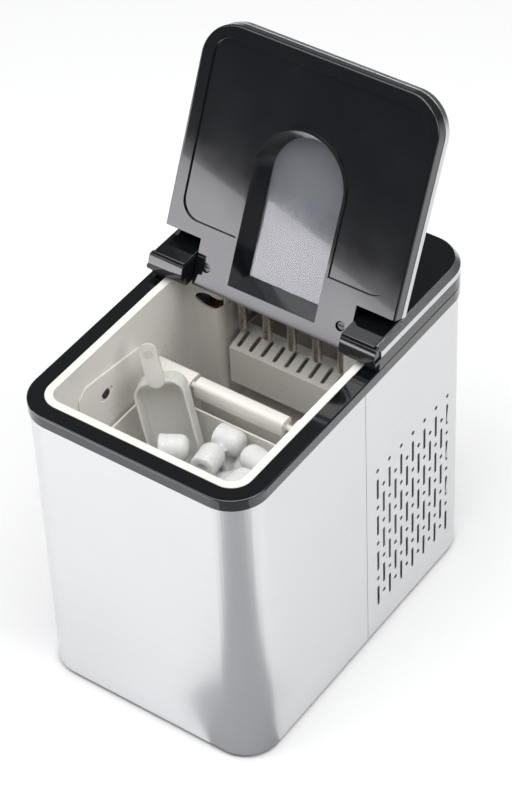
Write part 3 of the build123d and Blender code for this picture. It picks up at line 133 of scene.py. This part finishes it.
class IceMakerStage(bpy.types.PropertyGroup):
    """Camera and light."""
    azimuth: FloatProperty(name="Azimuth", description="Camera direction round the object",
                           default=math.radians(36.86), subtype="ANGLE")
    elevation: FloatProperty(name="Elevation", description="Camera height angle",
                             default=math.radians(43.29), subtype="ANGLE")
    roll: FloatProperty(name="Roll", description="Camera roll", default=math.radians(-2.74), subtype="ANGLE")
    distance: FloatProperty(name="Distance", description="From the camera to its aim", default=2.66,
                            unit="LENGTH")
    lens: FloatProperty(name="Lens", description="Focal length in millimetres", default=126.4)
    aim: FloatVectorProperty(name="Aim", description="Point that the camera looks at",
                             default=(-0.0727, 0.1049, 0.1304), subtype="XYZ", size=3)
    overhead: FloatProperty(name="Overhead light", description="Power of the large top light",
                            default=118.0)
    key: FloatProperty(name="Key light", description="Power of the left light", default=22.0)
    fill: FloatProperty(name="Fill light", description="Power of the right light", default=30.0)
    card_glow: FloatProperty(name="Lid card", description="Brightness of the card that the lid reflects",
                             default=6.0)
    card_height: FloatProperty(name="Card height", default=0.458, unit="LENGTH",
                               description="Height of the card's top edge as seen in the lid")
    card_slope: FloatProperty(name="Card slope", description="Slope of the card's top edge in degrees",
                              default=13.0)


def finishes():
    return bpy.context.scene.ice_maker_finishes


def detail():
    return bpy.context.scene.ice_maker_detail


# ------------------------------------------------------------------ materials

class Finish:
    """Wires one procedural material on Object coordinates."""

    def __init__(self, name):
        self.material = bpy.data.materials.new(name)
        self.material.use_nodes = True
        self.nodes = self.material.node_tree.nodes
        self.links = self.material.node_tree.links
        self.shader = self.nodes["Principled BSDF"]
        self.place = self.nodes.new("ShaderNodeTexCoord").outputs["Object"]

    def set(self, **values):
        for key, value in values.items():
            socket = self.shader.inputs[key.replace("_", " ")]
            socket.default_value = (*value, 1.0) if socket.type == "RGBA" else value
        return self

    def put(self, socket_name, output):
        self.links.new(output, self.shader.inputs[socket_name])

    def stretched(self, scale, rotation=(0, 0, 0)):
        node = self.nodes.new("ShaderNodeMapping")
        node.inputs["Scale"].default_value = scale
        node.inputs["Rotation"].default_value = rotation
        self.links.new(self.place, node.inputs["Vector"])
        return node.outputs["Vector"]

    def noise(self, scale, detail_level=4.0, rough=0.5, place=None):
        node = self.nodes.new("ShaderNodeTexNoise")
        node.inputs["Scale"].default_value = scale
        node.inputs["Detail"].default_value = detail_level
        node.inputs["Roughness"].default_value = rough
        self.links.new(place or self.place, node.inputs["Vector"])
        return node.outputs["Fac"]

    def cells(self, scale, place=None, feature="F1"):
        node = self.nodes.new("ShaderNodeTexVoronoi")
        node.feature = feature
        node.inputs["Scale"].default_value = scale
        self.links.new(place or self.place, node.inputs["Vector"])
        return node.outputs["Distance"]

    def span(self, value, low, high, start=0.0, end=1.0):
        node = self.nodes.new("ShaderNodeMapRange")
        node.inputs["From Min"].default_value = start
        node.inputs["From Max"].default_value = end
        node.inputs["To Min"].default_value = low
        node.inputs["To Max"].default_value = high
        self.links.new(value, node.inputs["Value"])
        return node.outputs["Result"]

    def times(self, a, b, kind="MULTIPLY"):
        node = self.nodes.new("ShaderNodeMath")
        node.operation = kind
        for socket, value in zip(node.inputs, (a, b)):
            if isinstance(value, (int, float)):
                socket.default_value = value
            else:
                self.links.new(value, socket)
        return node.outputs["Value"]

    def blend(self, amount, first, second):
        node = self.nodes.new("ShaderNodeMix")
        node.data_type = "RGBA"
        self.links.new(amount, node.inputs[0])
        node.inputs[6].default_value = (*first, 1.0)
        node.inputs[7].default_value = (*second, 1.0)
        return node.outputs[2]

    def bump(self, height, depth, strength=1.0, under=None):
        node = self.nodes.new("ShaderNodeBump")
        node.inputs["Distance"].default_value = depth
        node.inputs["Strength"].default_value = strength
        self.links.new(height, node.inputs["Height"])
        if under is not None:
            self.links.new(under, node.inputs["Normal"])
        return node.outputs["Normal"]


def shade(colour, factor):
    return tuple(min(1.0, c * factor) for c in colour)


def brushed(name, colour, rough=0.34, grain=(3.0, 3.0, 900.0), metal=1.0):
    """Sheet metal with long fine brushing and faint hand marks."""
    f = Finish(name).set(Metallic=metal, Anisotropic=0.45)
    lines = f.noise(1.6, 3.0, 0.7, f.stretched(grain))
    streaks = f.noise(0.5, 2.0, 0.6, f.stretched((grain[0], grain[1], grain[2] * 0.35)))
    marks = f.noise(9.0, 3.0, 0.6)
    tone = f.times(f.span(lines, 0.0, 0.65), f.span(marks, 0.0, 0.35), "ADD")
    f.put("Base Color", f.blend(tone, shade(colour, 0.93), shade(colour, 1.06)))
    polish = f.span(streaks, rough - 0.06, rough + 0.06)
    f.put("Roughness", f.times(polish, f.span(marks, -0.03, 0.03), "ADD"))
    f.put("Normal", f.bump(lines, 0.00003, 0.35))
    return f.material


def glossy(name, colour, rough=0.07, coat=0.6):
    """Polished black moulding with dust, a few hairline scratches and a slow flow wave."""
    f = Finish(name).set(IOR=1.5, Coat_Weight=coat, Coat_Roughness=0.03)
    dust = f.span(f.cells(620.0), 1.0, 0.0, 0.05, 0.12)
    haze = f.noise(22.0, 5.0, 0.6)
    scratches = f.noise(4.0, 2.0, 0.5, f.stretched((260.0, 14.0, 14.0), (0.3, 0.6, 0.4)))
    hair = f.span(scratches, 0.0, 1.0, 0.70, 0.74)
    f.put("Base Color", f.blend(f.times(dust, 0.10), colour, (0.30, 0.30, 0.30)))
    wear = f.times(f.span(haze, 0.0, 0.06, 0.35, 0.75), f.times(hair, 0.05), "ADD")
    f.put("Roughness", f.times(wear, f.times(f.times(dust, 0.25), rough, "ADD"), "ADD"))
    f.put("Normal", f.bump(f.noise(6.0, 1.0, 0.3), 0.00035, 0.12))
    return f.material


def moulded(name, colour, rough=0.34, grain=900.0, depth=0.00004, tint=0.06):
    """Moulded plastic: fine grain, slight uneven tone and polish."""
    f = Finish(name).set(IOR=1.48, Specular_IOR_Level=0.45)
    cloud = f.noise(14.0, 4.0, 0.55)
    fine = f.noise(grain, 3.0, 0.6)
    f.put("Base Color", f.blend(cloud, shade(colour, 1.0 - tint), shade(colour, 1.0 + tint * 0.5)))
    f.put("Roughness", f.times(f.span(cloud, rough - 0.07, rough + 0.07), f.span(fine, -0.03, 0.03), "ADD"))
    f.put("Normal", f.bump(fine, depth, 0.5, f.bump(f.noise(40.0, 2.0, 0.5), 0.0002, 0.15)))
    return f.material


def wet_liner(name, colour):
    """White food-grade plastic with a light frost haze and small drops near the ice."""
    f = Finish(name).set(IOR=1.48, Subsurface_Weight=0.12, Subsurface_Scale=0.004)
    cloud = f.noise(10.0, 5.0, 0.6)
    drops = f.span(f.cells(190.0), 1.0, 0.0, 0.10, 0.30)
    patch = f.span(f.noise(16.0, 2.0, 0.5), 0.0, 1.0, 0.50, 0.62)
    beads = f.times(drops, patch)
    f.put("Base Color", f.blend(cloud, shade(colour, 0.94), shade(colour, 1.03)))
    f.put("Roughness", f.times(f.span(cloud, 0.24, 0.40), f.times(beads, -0.16), "ADD"))
    f.put("Normal", f.bump(beads, 0.0004, 0.35, f.bump(f.noise(700.0, 2.0, 0.5), 0.00003, 0.5)))
    return f.material


def milky(name, colour):
    """Thin translucent plastic with soft frosting."""
    f = Finish(name).set(IOR=1.46, Transmission_Weight=0.45, Subsurface_Weight=0.25, Subsurface_Scale=0.003)
    f.shader.inputs["Subsurface Radius"].default_value = (1.0, 0.95, 0.9)
    cloud = f.noise(30.0, 4.0, 0.6)
    f.put("Base Color", f.blend(cloud, shade(colour, 0.95), shade(colour, 1.05)))
    f.put("Roughness", f.span(cloud, 0.26, 0.42))
    f.put("Normal", f.bump(cloud, 0.0002, 0.4, f.bump(f.noise(900.0, 2.0, 0.5), 0.00003, 0.4)))
    return f.material


def frosted_ice(name, colour):
    """Cloudy ice: clear skin over a white bubbly heart, wet and slightly pitted."""
    f = Finish(name).set(IOR=1.31, Transmission_Weight=0.3, Subsurface_Weight=0.4, Subsurface_Scale=0.004)
    f.shader.inputs["Subsurface Radius"].default_value = (1.0, 1.0, 1.0)
    cloud = f.noise(85.0, 5.0, 0.65)
    cracks = f.span(f.cells(170.0, None, "DISTANCE_TO_EDGE"), 1.0, 0.0, 0.0, 0.04)
    f.put("Base Color", f.blend(cloud, shade(colour, 0.93), (1.0, 1.0, 1.0)))
    f.put("Roughness", f.times(f.span(cloud, 0.12, 0.32), f.times(cracks, 0.05), "ADD"))
    f.put("Normal", f.bump(f.noise(150.0, 3.0, 0.5), 0.0005, 0.3))
    return f.material


def tinted_window(name, colour):
    """Clear tinted pane with faint smears."""
    f = Finish(name).set(IOR=1.49, Transmission_Weight=0.82, Coat_Weight=0.4)
    smear = f.noise(18.0, 4.0, 0.6, f.stretched((1.0, 2.5, 1.0), (0.0, 0.0, 0.7)))
    f.put("Base Color", f.blend(smear, shade(colour, 0.92), shade(colour, 1.05)))
    f.put("Roughness", f.span(smear, 0.04, 0.12, 0.35, 0.75))
    f.put("Normal", f.bump(f.noise(7.0, 1.0, 0.3), 0.0002, 0.05))
    return f.material


def plated(name, colour, rough=0.22, spot=60.0):
    """Plated metal with water marks."""
    f = Finish(name).set(Metallic=1.0)
    marks = f.noise(spot, 5.0, 0.65)
    rings = f.span(f.cells(spot * 3.0), 0.0, 1.0, 0.25, 0.32)
    f.put("Base Color", f.blend(f.times(marks, rings), shade(colour, 0.62), shade(colour, 1.1)))
    f.put("Roughness", f.span(marks, rough - 0.1, rough + 0.16, 0.25, 0.75))
    f.put("Normal", f.bump(marks, 0.0002, 0.3))
    return f.material


def drawn_copper(name, colour):
    """Copper pipe with tarnish and drawing lines."""
    f = Finish(name).set(Metallic=1.0)
    tarnish = f.span(f.noise(38.0, 6.0, 0.65), 0.0, 1.0, 0.40, 0.72)
    lines = f.noise(420.0, 2.0, 0.5)
    f.put("Base Color", f.blend(tarnish, colour, (0.20, 0.11, 0.08)))
    f.put("Roughness", f.times(f.span(tarnish, 0.22, 0.52), f.span(lines, -0.04, 0.04), "ADD"))
    f.put("Normal", f.bump(lines, 0.00004, 0.5))
    return f.material


def rubbery(name, colour, rough=0.62):
    f = Finish(name).set(Specular_IOR_Level=0.35)
    grain = f.noise(520.0, 3.0, 0.7)
    bloom = f.noise(28.0, 4.0, 0.6)
    f.put("Base Color", f.blend(bloom, colour, shade(colour, 1.9)))
    f.put("Roughness", f.span(bloom, rough - 0.08, rough + 0.14))
    f.put("Normal", f.bump(grain, 0.00008, 0.5))
    return f.material


def bead_foam(name, colour):
    f = Finish(name).set(Specular_IOR_Level=0.25, Subsurface_Weight=0.1, Subsurface_Scale=0.003)
    beads = f.cells(260.0)
    f.put("Base Color", f.blend(beads, shade(colour, 1.05), shade(colour, 0.72)))
    f.put("Roughness", f.span(f.noise(60.0), 0.75, 0.95))
    f.put("Normal", f.bump(beads, 0.0008, 0.6))
    return f.material


def painted_can(name, colour):
    """Oven-baked black paint with light orange peel and dust."""
    f = Finish(name).set(Coat_Weight=0.25, Coat_Roughness=0.12)
    peel = f.noise(160.0, 2.0, 0.5)
    dust = f.span(f.noise(24.0, 5.0, 0.7), 0.0, 0.2, 0.50, 0.8)
    f.put("Base Color", f.blend(dust, colour, (0.10, 0.10, 0.095)))
    f.put("Roughness", f.span(dust, 0.24, 0.6))
    f.put("Normal", f.bump(peel, 0.0003, 0.35))
    return f.material


def circuit_board(name, colour):
    """Solder mask with tracks below and pads."""
    f = Finish(name).set(Coat_Weight=0.4, Coat_Roughness=0.15)
    tracks = f.span(f.cells(240.0, f.stretched((1.0, 1.0, 0.35)), "DISTANCE_TO_EDGE"), 1.0, 0.0, 0.02, 0.05)
    pads = f.span(f.cells(420.0), 1.0, 0.0, 0.10, 0.14)
    f.put("Base Color", f.blend(f.times(tracks, f.times(pads, 0.6, "ADD")), colour, (0.36, 0.44, 0.20)))
    f.put("Roughness", f.span(pads, 0.36, 0.2))
    f.put("Normal", f.bump(tracks, 0.0001, 0.5))
    return f.material


def lamp(name, colour):
    f = Finish(name).set(Emission_Strength=0.6, Transmission_Weight=0.2)
    glow = f.noise(900.0, 2.0)
    f.put("Base Color", f.blend(glow, shade(colour, 0.8), colour))
    f.put("Roughness", f.span(glow, 0.25, 0.4))
    f.shader.inputs["Emission Color"].default_value = (*colour, 1.0)
    return f.material


def make_finishes():
    """One material for every slot of the record."""
    c = finishes()
    plain = {m["slot"]: tuple(m["base_color"][:3]) for m in RECORD["materials"]}
    return {
        "white_steel": brushed("brushed steel sheet", tuple(c.steel)),
        "black_gloss": glossy("piano black", tuple(c.black), 0.05),
        "black_satin": glossy("satin black", tuple(c.satin_black), 0.09, 0.35),
        "bright_trim": brushed("bright trim", tuple(c.trim), 0.24, (3.0, 3.0, 500.0)),
        "white_liner": wet_liner("white liner", tuple(c.liner)),
        "milky_plastic": milky("milky plastic", tuple(c.milky)),
        "smoked_window": tinted_window("tinted window", tuple(c.window)),
        "ice": frosted_ice("frosted ice", tuple(c.ice)),
        "foam": bead_foam("bead foam", plain["foam"]),
        "nickel": plated("water-marked nickel", tuple(c.nickel)),
        "copper": drawn_copper("tarnished copper", tuple(c.copper)),
        "steel": plated("zinc plate", plain["steel"], 0.34, 140.0),
        "compressor_black": painted_can("compressor paint", (0.012, 0.012, 0.013)),
        "rubber": rubbery("black rubber", (0.02, 0.02, 0.021)),
        "grey_plastic": moulded("grey moulding", (0.11, 0.115, 0.12), 0.5, 700.0, 0.00008),
        "aluminium": brushed("mill aluminium", plain["aluminium"], 0.4, (200.0, 200.0, 30.0)),
        "green_board": circuit_board("circuit board", (0.02, 0.13, 0.05)),
        "lamp": lamp("indicator lamp", plain["lamp"]),
        "silicone": rubbery("silicone hose", (0.42, 0.42, 0.40), 0.45),
        "button_grey": moulded("button cap", (0.32, 0.33, 0.35), 0.28),
        "dark_window": glossy("sensor window", (0.03, 0.008, 0.015), 0.08, 0.3),
    }


# ------------------------------------------------------------------ pieces

def wear(obj, slot):
    """Gives a piece or a CAD node the finish of a slot."""
    material = bpy.data.materials[SLOT_NAMES[slot]]
    if obj.material_slots:
        for entry in obj.material_slots:
            entry.material = material
    else:
        obj.data.materials.append(material)


SLOT_NAMES = {}


def settle(obj, node, *more):
    """Rides the piece on the body of its node, which it stands for."""
    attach(obj, NODE_BODY[node])
    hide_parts(node, *more)
    wear(obj, NODE_SLOT[node])
    return obj


def add_object(name, bm):
    mesh = bpy.data.meshes.new(name)
    bm.to_mesh(mesh)
    bm.free()
    obj = bpy.data.objects.new(name, mesh)
    bpy.context.scene.collection.objects.link(obj)
    return obj


def merged_copy(node, weld=0.00002):
    """bmesh with the shape of a CAD node, its loose triangles joined."""
    source = frame["nodes"][node]
    bm = bmesh.new()
    bm.from_mesh(source.data)
    bm.transform(source.matrix_world)
    bmesh.ops.remove_doubles(bm, verts=bm.verts, dist=weld)
    return bm


def smooth_by_angle(obj, degrees=CRISP_ANGLE):
    for polygon in obj.data.polygons:
        polygon.use_smooth = True
    obj.data.set_sharp_from_angle(angle=math.radians(degrees))


def refine(node, edge=0.0):
    """Stands in for a CAD node: joined faces, smooth round stretches and softened edges."""
    bm = merged_copy(node)
    bmesh.ops.dissolve_degenerate(bm, edges=bm.edges, dist=0.00001)
    if edge:
        bmesh.ops.dissolve_limit(bm, angle_limit=math.radians(0.6), verts=bm.verts, edges=bm.edges)
    obj = add_object(node + "_finished", bm)
    smooth_by_angle(obj)
    if edge:
        mod = obj.modifiers.new("soft edges", "BEVEL")
        mod.width = edge
        mod.segments = 2
        mod.limit_method = "ANGLE"
        mod.angle_limit = math.radians(CRISP_ANGLE)
        mod.harden_normals = True
        mod.use_clamp_overlap = True
    even = obj.modifiers.new("even shading", "WEIGHTED_NORMAL")
    even.keep_sharp = True
    even.weight = 80
    return settle(obj, node)


class ICEMAKER_OT_finishes(bpy.types.Operator):
    """Make every finish and give it to the CAD nodes"""
    bl_idname = "icemaker.finishes"
    bl_label = "Finishes"

    def execute(self, context):
        for slot, material in make_finishes().items():
            SLOT_NAMES[slot] = material.name
        for node, obj in frame["nodes"].items():
            wear(obj, NODE_SLOT[node])
        return {"FINISHED"}


class ICEMAKER_OT_casing(bpy.types.Operator):
    """Body panels and the black top ring"""
    bl_idname = "icemaker.casing"
    bl_label = "Casing"

    def execute(self, context):
        for node in ("front_wrap", "side_panel_right", "side_panel_left", "back_panel"):
            refine(node)
        refine("top_ring")
        refine("base_pan")
        return {"FINISHED"}


class ICEMAKER_OT_lid(bpy.types.Operator):
    """Rear cover, lid and their bright bands"""
    bl_idname = "icemaker.lid"
    bl_label = "Lid and rear cover"

    def execute(self, context):
        d = detail()
        for node in ("rear_cover", "cover_top_plate", "lid_outer_shell", "lid_inner_panel"):
            refine(node, d.edge)
        for node in ("cover_band", "lid_band", "lid_window"):
            refine(node, d.thin_edge)
        return {"FINISHED"}


class ICEMAKER_OT_basin(bpy.types.Operator):
    """White basin, tray, gate and basket"""
    bl_idname = "icemaker.basin"
    bl_label = "Basin"

    def execute(self, context):
        d = detail()
        refine("basin_liner", d.edge)
        for node in ("water_tray", "ice_basket", "gate_blocks", "sensor_covers"):
            refine(node, d.edge)
        refine("ice_gate")
        refine("scoop", d.edge)
        for node in ("evaporator_tube", "evaporator_fingers", "ir_sensors", "level_sensor"):
            refine(node)
        return {"FINISHED"}


class ICEMAKER_OT_ice(bpy.types.Operator):
    """Melted, slightly uneven ice bullets"""
    bl_idname = "icemaker.ice"
    bl_label = "Ice"

    def execute(self, context):
        d = detail()
        obj = add_object("ice_bullets", merged_copy("ice_pieces"))
        mod = obj.modifiers.new("even skin", "REMESH")
        mod.mode = "VOXEL"
        mod.voxel_size = d.ice_grain
        mod.use_smooth_shade = True
        bpy.context.view_layer.update()
        graph = context.evaluated_depsgraph_get()
        mesh = bpy.data.meshes.new_from_object(obj.evaluated_get(graph))
        obj.modifiers.clear()
        obj.data = mesh
        bm = bmesh.new()
        bm.from_mesh(mesh)
        for _ in range(2):
            bmesh.ops.smooth_vert(bm, verts=bm.verts, factor=0.5, use_axis_x=True, use_axis_y=True,
                                  use_axis_z=True)
        bm.normal_update()
        for v in bm.verts:
            v.co -= v.normal * d.ice_melt * (0.5 + 0.5 * noise.noise(v.co * 140.0))
        bm.to_mesh(mesh)
        bm.free()
        for polygon in mesh.polygons:
            polygon.use_smooth = True
        settle(obj, "ice_pieces")
        return {"FINISHED"}


def add_plate(bm, low, high):
    """Adds a closed box between two corners to a bmesh."""
    low, high = Vector(low), Vector(high)
    size = high - low
    place = Matrix.Translation((low + high) / 2) @ Matrix.Diagonal((*size, 1.0))
    bmesh.ops.create_cube(bm, size=1.0, matrix=place)


def add_rod(bm, start, end, radius, segments=20):
    start, end = Vector(start), Vector(end)
    axis = end - start
    turn = axis.to_track_quat("Z", "Y").to_matrix().to_4x4()
    bmesh.ops.create_cone(bm, cap_ends=True, segments=segments, radius1=radius, radius2=radius,
                          depth=axis.length, matrix=Matrix.Translation((start + end) / 2) @ turn)


class ICEMAKER_OT_condenser(bpy.types.Operator):
    """Condenser with single fins, end plates and return bends"""
    bl_idname = "icemaker.condenser"
    bl_label = "Condenser"

    def execute(self, context):
        d = detail()
        low, high = (Vector(v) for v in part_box("condenser"))
        x1 = high.x
        x0 = x1 - CORE_DEPTH
        y0, y1 = low.y, high.y
        z1 = high.z
        z0 = z1 - CORE_HEIGHT
        plate, bend, radius = END_PLATE, BEND_ROOM, COIL_R
        bm = bmesh.new()
        for y in (y0 + bend, y1 - bend - plate):
            add_plate(bm, (x0, y, z0), (x1, y + plate, z1))
        y = y0 + bend + plate + d.fin_pitch
        while y < y1 - bend - plate - d.fin_pitch:
            add_plate(bm, (x0 + FIN_INSET, y, z0 + FIN_INSET),
                      (x1 - FIN_INSET, y + d.fin_thick, z1 - FIN_INSET))
            y += d.fin_pitch
        mid = (x0 + x1) / 2
        step = (z1 - z0 - 2 * bend) / d.coil_rows
        for row in range(d.coil_rows + 1):
            z = z0 + bend + row * step
            add_rod(bm, (mid, y0 + bend / 2, z), (mid, y1 - bend / 2, z), radius)
            if row < d.coil_rows:
                y = y1 - bend / 2 if row % 2 else y0 + bend / 2
                add_rod(bm, (mid, y, z - radius * 0.6), (mid, y, z + step + radius * 0.6), radius * 0.95)
        add_rod(bm, (low.x, INLET_Y, INLET_Z), (mid, INLET_Y, INLET_Z), radius)
        add_rod(bm, (mid, INLET_Y, z0 - OUTLET_DROP), (mid, INLET_Y, z0 + OUTLET_RISE), radius)
        for leg in (y0 + LEG_FRONT, y1 - LEG_BACK):
            add_plate(bm, (x0 + LEG_HALF, leg - LEG_HALF, low.z),
                      (x1 - LEG_HALF, leg + LEG_HALF, z0 + FIN_INSET))
        obj = add_object("condenser_core", bm)
        smooth_by_angle(obj)
        settle(obj, "condenser")
        return {"FINISHED"}


class ICEMAKER_OT_machinery(bpy.types.Operator):
    """Compressor, fan, pump, pipes and hoses"""
    bl_idname = "icemaker.machinery"
    bl_label = "Machinery"

    def execute(self, context):
        for node in ("compressor", "fan_shroud", "fan_blade", "fan_motor", "filter_dryer", "suction_tube",
                     "hot_gas_tube", "capillary_tube", "liquid_tube", "water_hose", "pump_inlet_hose",
                     "drain_hose", "water_pump", "hot_gas_valve", "tray_motor", "drain_plug"):
            refine(node)
        return {"FINISHED"}


# ------------------------------------------------------------------ stage

def area_light(name, place, aim, size, power, colour=(1.0, 1.0, 1.0)):
    data = bpy.data.lights.new(name, "AREA")
    data.shape = "RECTANGLE"
    data.size, data.size_y = size
    data.energy = power
    data.color = colour
    obj = bpy.data.objects.new(name, data)
    obj.location = place
    obj.rotation_euler = (Vector(aim) - Vector(place)).to_track_quat("-Z", "Y").to_euler()
    bpy.context.scene.collection.objects.link(obj)
    return obj


def pale_floor():
    bm = bmesh.new()
    bmesh.ops.create_grid(bm, x_segments=1, y_segments=1, size=FLOOR_HALF)
    floor = add_object("floor", bm)
    f = Finish("pale floor").set(Specular_IOR_Level=0.2)
    tone = f.noise(0.7, 2.0)
    f.put("Base Color", f.blend(tone, (0.90, 0.90, 0.90), (0.93, 0.93, 0.93)))
    f.put("Roughness", f.span(tone, 0.7, 0.8))
    floor.data.materials.append(f.material)


def reflector(name, corners, colour, glow=0.0):
    """Studio card that only reflections see."""
    bm = bmesh.new()
    bm.faces.new([bm.verts.new(c) for c in corners])
    card = add_object(name, bm)
    f = Finish(name).set(Base_Color=colour, Roughness=0.9, Emission_Strength=glow)
    f.shader.inputs["Emission Color"].default_value = (*colour, 1.0)
    card.data.materials.append(f.material)
    card.visible_camera = False
    card.visible_diffuse = False
    card.visible_shadow = False
    card.visible_transmission = False


class ICEMAKER_OT_stage(bpy.types.Operator):
    """Pale floor, soft studio light and the camera"""
    bl_idname = "icemaker.stage"
    bl_label = "Stage"

    def lid_card(self, s):
        """Lavender softbox low in front of the lid, its top edge sloping down to the right."""
        across, up = Vector(LID_ACROSS), Vector((0, 0, 1))
        slope = math.radians(s.card_slope)
        half = (across * math.cos(slope) - up * math.sin(slope)) * LID_CARD_WIDTH / 2
        down = -(across * math.sin(slope) + up * math.cos(slope)) * LID_CARD_DEPTH
        top = Vector((0.0, LID_MIDDLE_Y, s.card_height)) + Vector(LID_MIRROR)
        reflector("lid card", (top - half, top + half, top + half + down, top - half + down),
                  (0.86, 0.84, 0.88), s.card_glow)

    def corner_card(self, s):
        """Dark strip by the near corner, which the brushed steel shows as a soft grey band."""
        out = Vector((math.sin(s.azimuth), -math.cos(s.azimuth), 0.0))
        side = Vector((math.cos(s.azimuth), math.sin(s.azimuth), 0.0))
        near = Vector(CORNER_START)
        far = near + out * CORNER_REACH
        reflector("corner card", (near - side * CORNER_NEAR_HALF, near + side * CORNER_NEAR_HALF,
                                  far + side * CORNER_FAR_HALF, far - side * CORNER_FAR_HALF),
                  (0.36, 0.36, 0.37))

    def execute(self, context):
        s = context.scene.ice_maker_stage
        pale_floor()
        world = bpy.data.worlds.new("studio")
        world.use_nodes = True
        world.node_tree.nodes["Background"].inputs["Color"].default_value = (0.80, 0.82, 0.85, 1.0)
        world.node_tree.nodes["Background"].inputs["Strength"].default_value = 0.16
        context.scene.world = world
        aim = (0.0, 0.0, 0.2)
        area_light("overhead", (0.2, -0.2, 3.2), aim, (3.4, 3.4), s.overhead)
        area_light("key", (-1.8, -1.6, 2.4), aim, (1.8, 1.8), s.key)
        area_light("right fill", (2.6, 0.3, 1.6), aim, (1.8, 1.8), s.fill)
        self.lid_card(s)
        self.corner_card(s)
        direction = Vector((math.sin(s.azimuth) * math.cos(s.elevation),
                            -math.cos(s.azimuth) * math.cos(s.elevation), math.sin(s.elevation)))
        camera = bpy.data.objects.new("camera", bpy.data.cameras.new("camera"))
        look = (-direction).to_track_quat("-Z", "Y").to_matrix().to_4x4()
        camera.matrix_world = (Matrix.Translation(Vector(s.aim) + direction * s.distance) @ look
                               @ Matrix.Rotation(s.roll, 4, "Z"))
        camera.data.lens = s.lens
        camera.data.sensor_width = 36.0
        camera.data.clip_end = 50.0
        context.scene.collection.objects.link(camera)
        context.scene.camera = camera
        context.scene.view_settings.view_transform = "Standard"
        return {"FINISHED"}


STEPS = ("finishes", "casing", "lid", "basin", "ice", "condenser", "machinery", "stage")


class ICEMAKER_PT_panel(bpy.types.Panel):
    """Lists the steps in the sidebar"""
    bl_label = "Ice Maker"
    bl_idname = "ICEMAKER_PT_panel"
    bl_space_type = "VIEW_3D"
    bl_region_type = "UI"
    bl_category = "Ice Maker"

    def draw(self, context):
        for step in STEPS:
            self.layout.operator(f"icemaker.{step}")
        for group in ("ice_maker_finishes", "ice_maker_detail", "ice_maker_stage"):
            box = self.layout.box()
            settings = getattr(context.scene, group)
            for key in settings.__annotations__:
                box.prop(settings, key)


GROUPS = {"ice_maker_finishes": IceMakerFinishes, "ice_maker_detail": IceMakerDetail,
          "ice_maker_stage": IceMakerStage}
CLASSES = (*GROUPS.values(), ICEMAKER_OT_finishes, ICEMAKER_OT_casing, ICEMAKER_OT_lid,
           ICEMAKER_OT_basin, ICEMAKER_OT_ice, ICEMAKER_OT_condenser, ICEMAKER_OT_machinery,
           ICEMAKER_OT_stage, ICEMAKER_PT_panel)


def register():
    for cls in CLASSES:
        bpy.utils.register_class(cls)
    for name, group in GROUPS.items():
        setattr(bpy.types.Scene, name, PointerProperty(type=group))


def unregister():
    for name in GROUPS:
        delattr(bpy.types.Scene, name)
    for cls in reversed(CLASSES):
        bpy.utils.unregister_class(cls)


def main():
    register()
    for step in STEPS:
        getattr(bpy.ops.icemaker, step)()


if __name__ == "__main__":
    main()
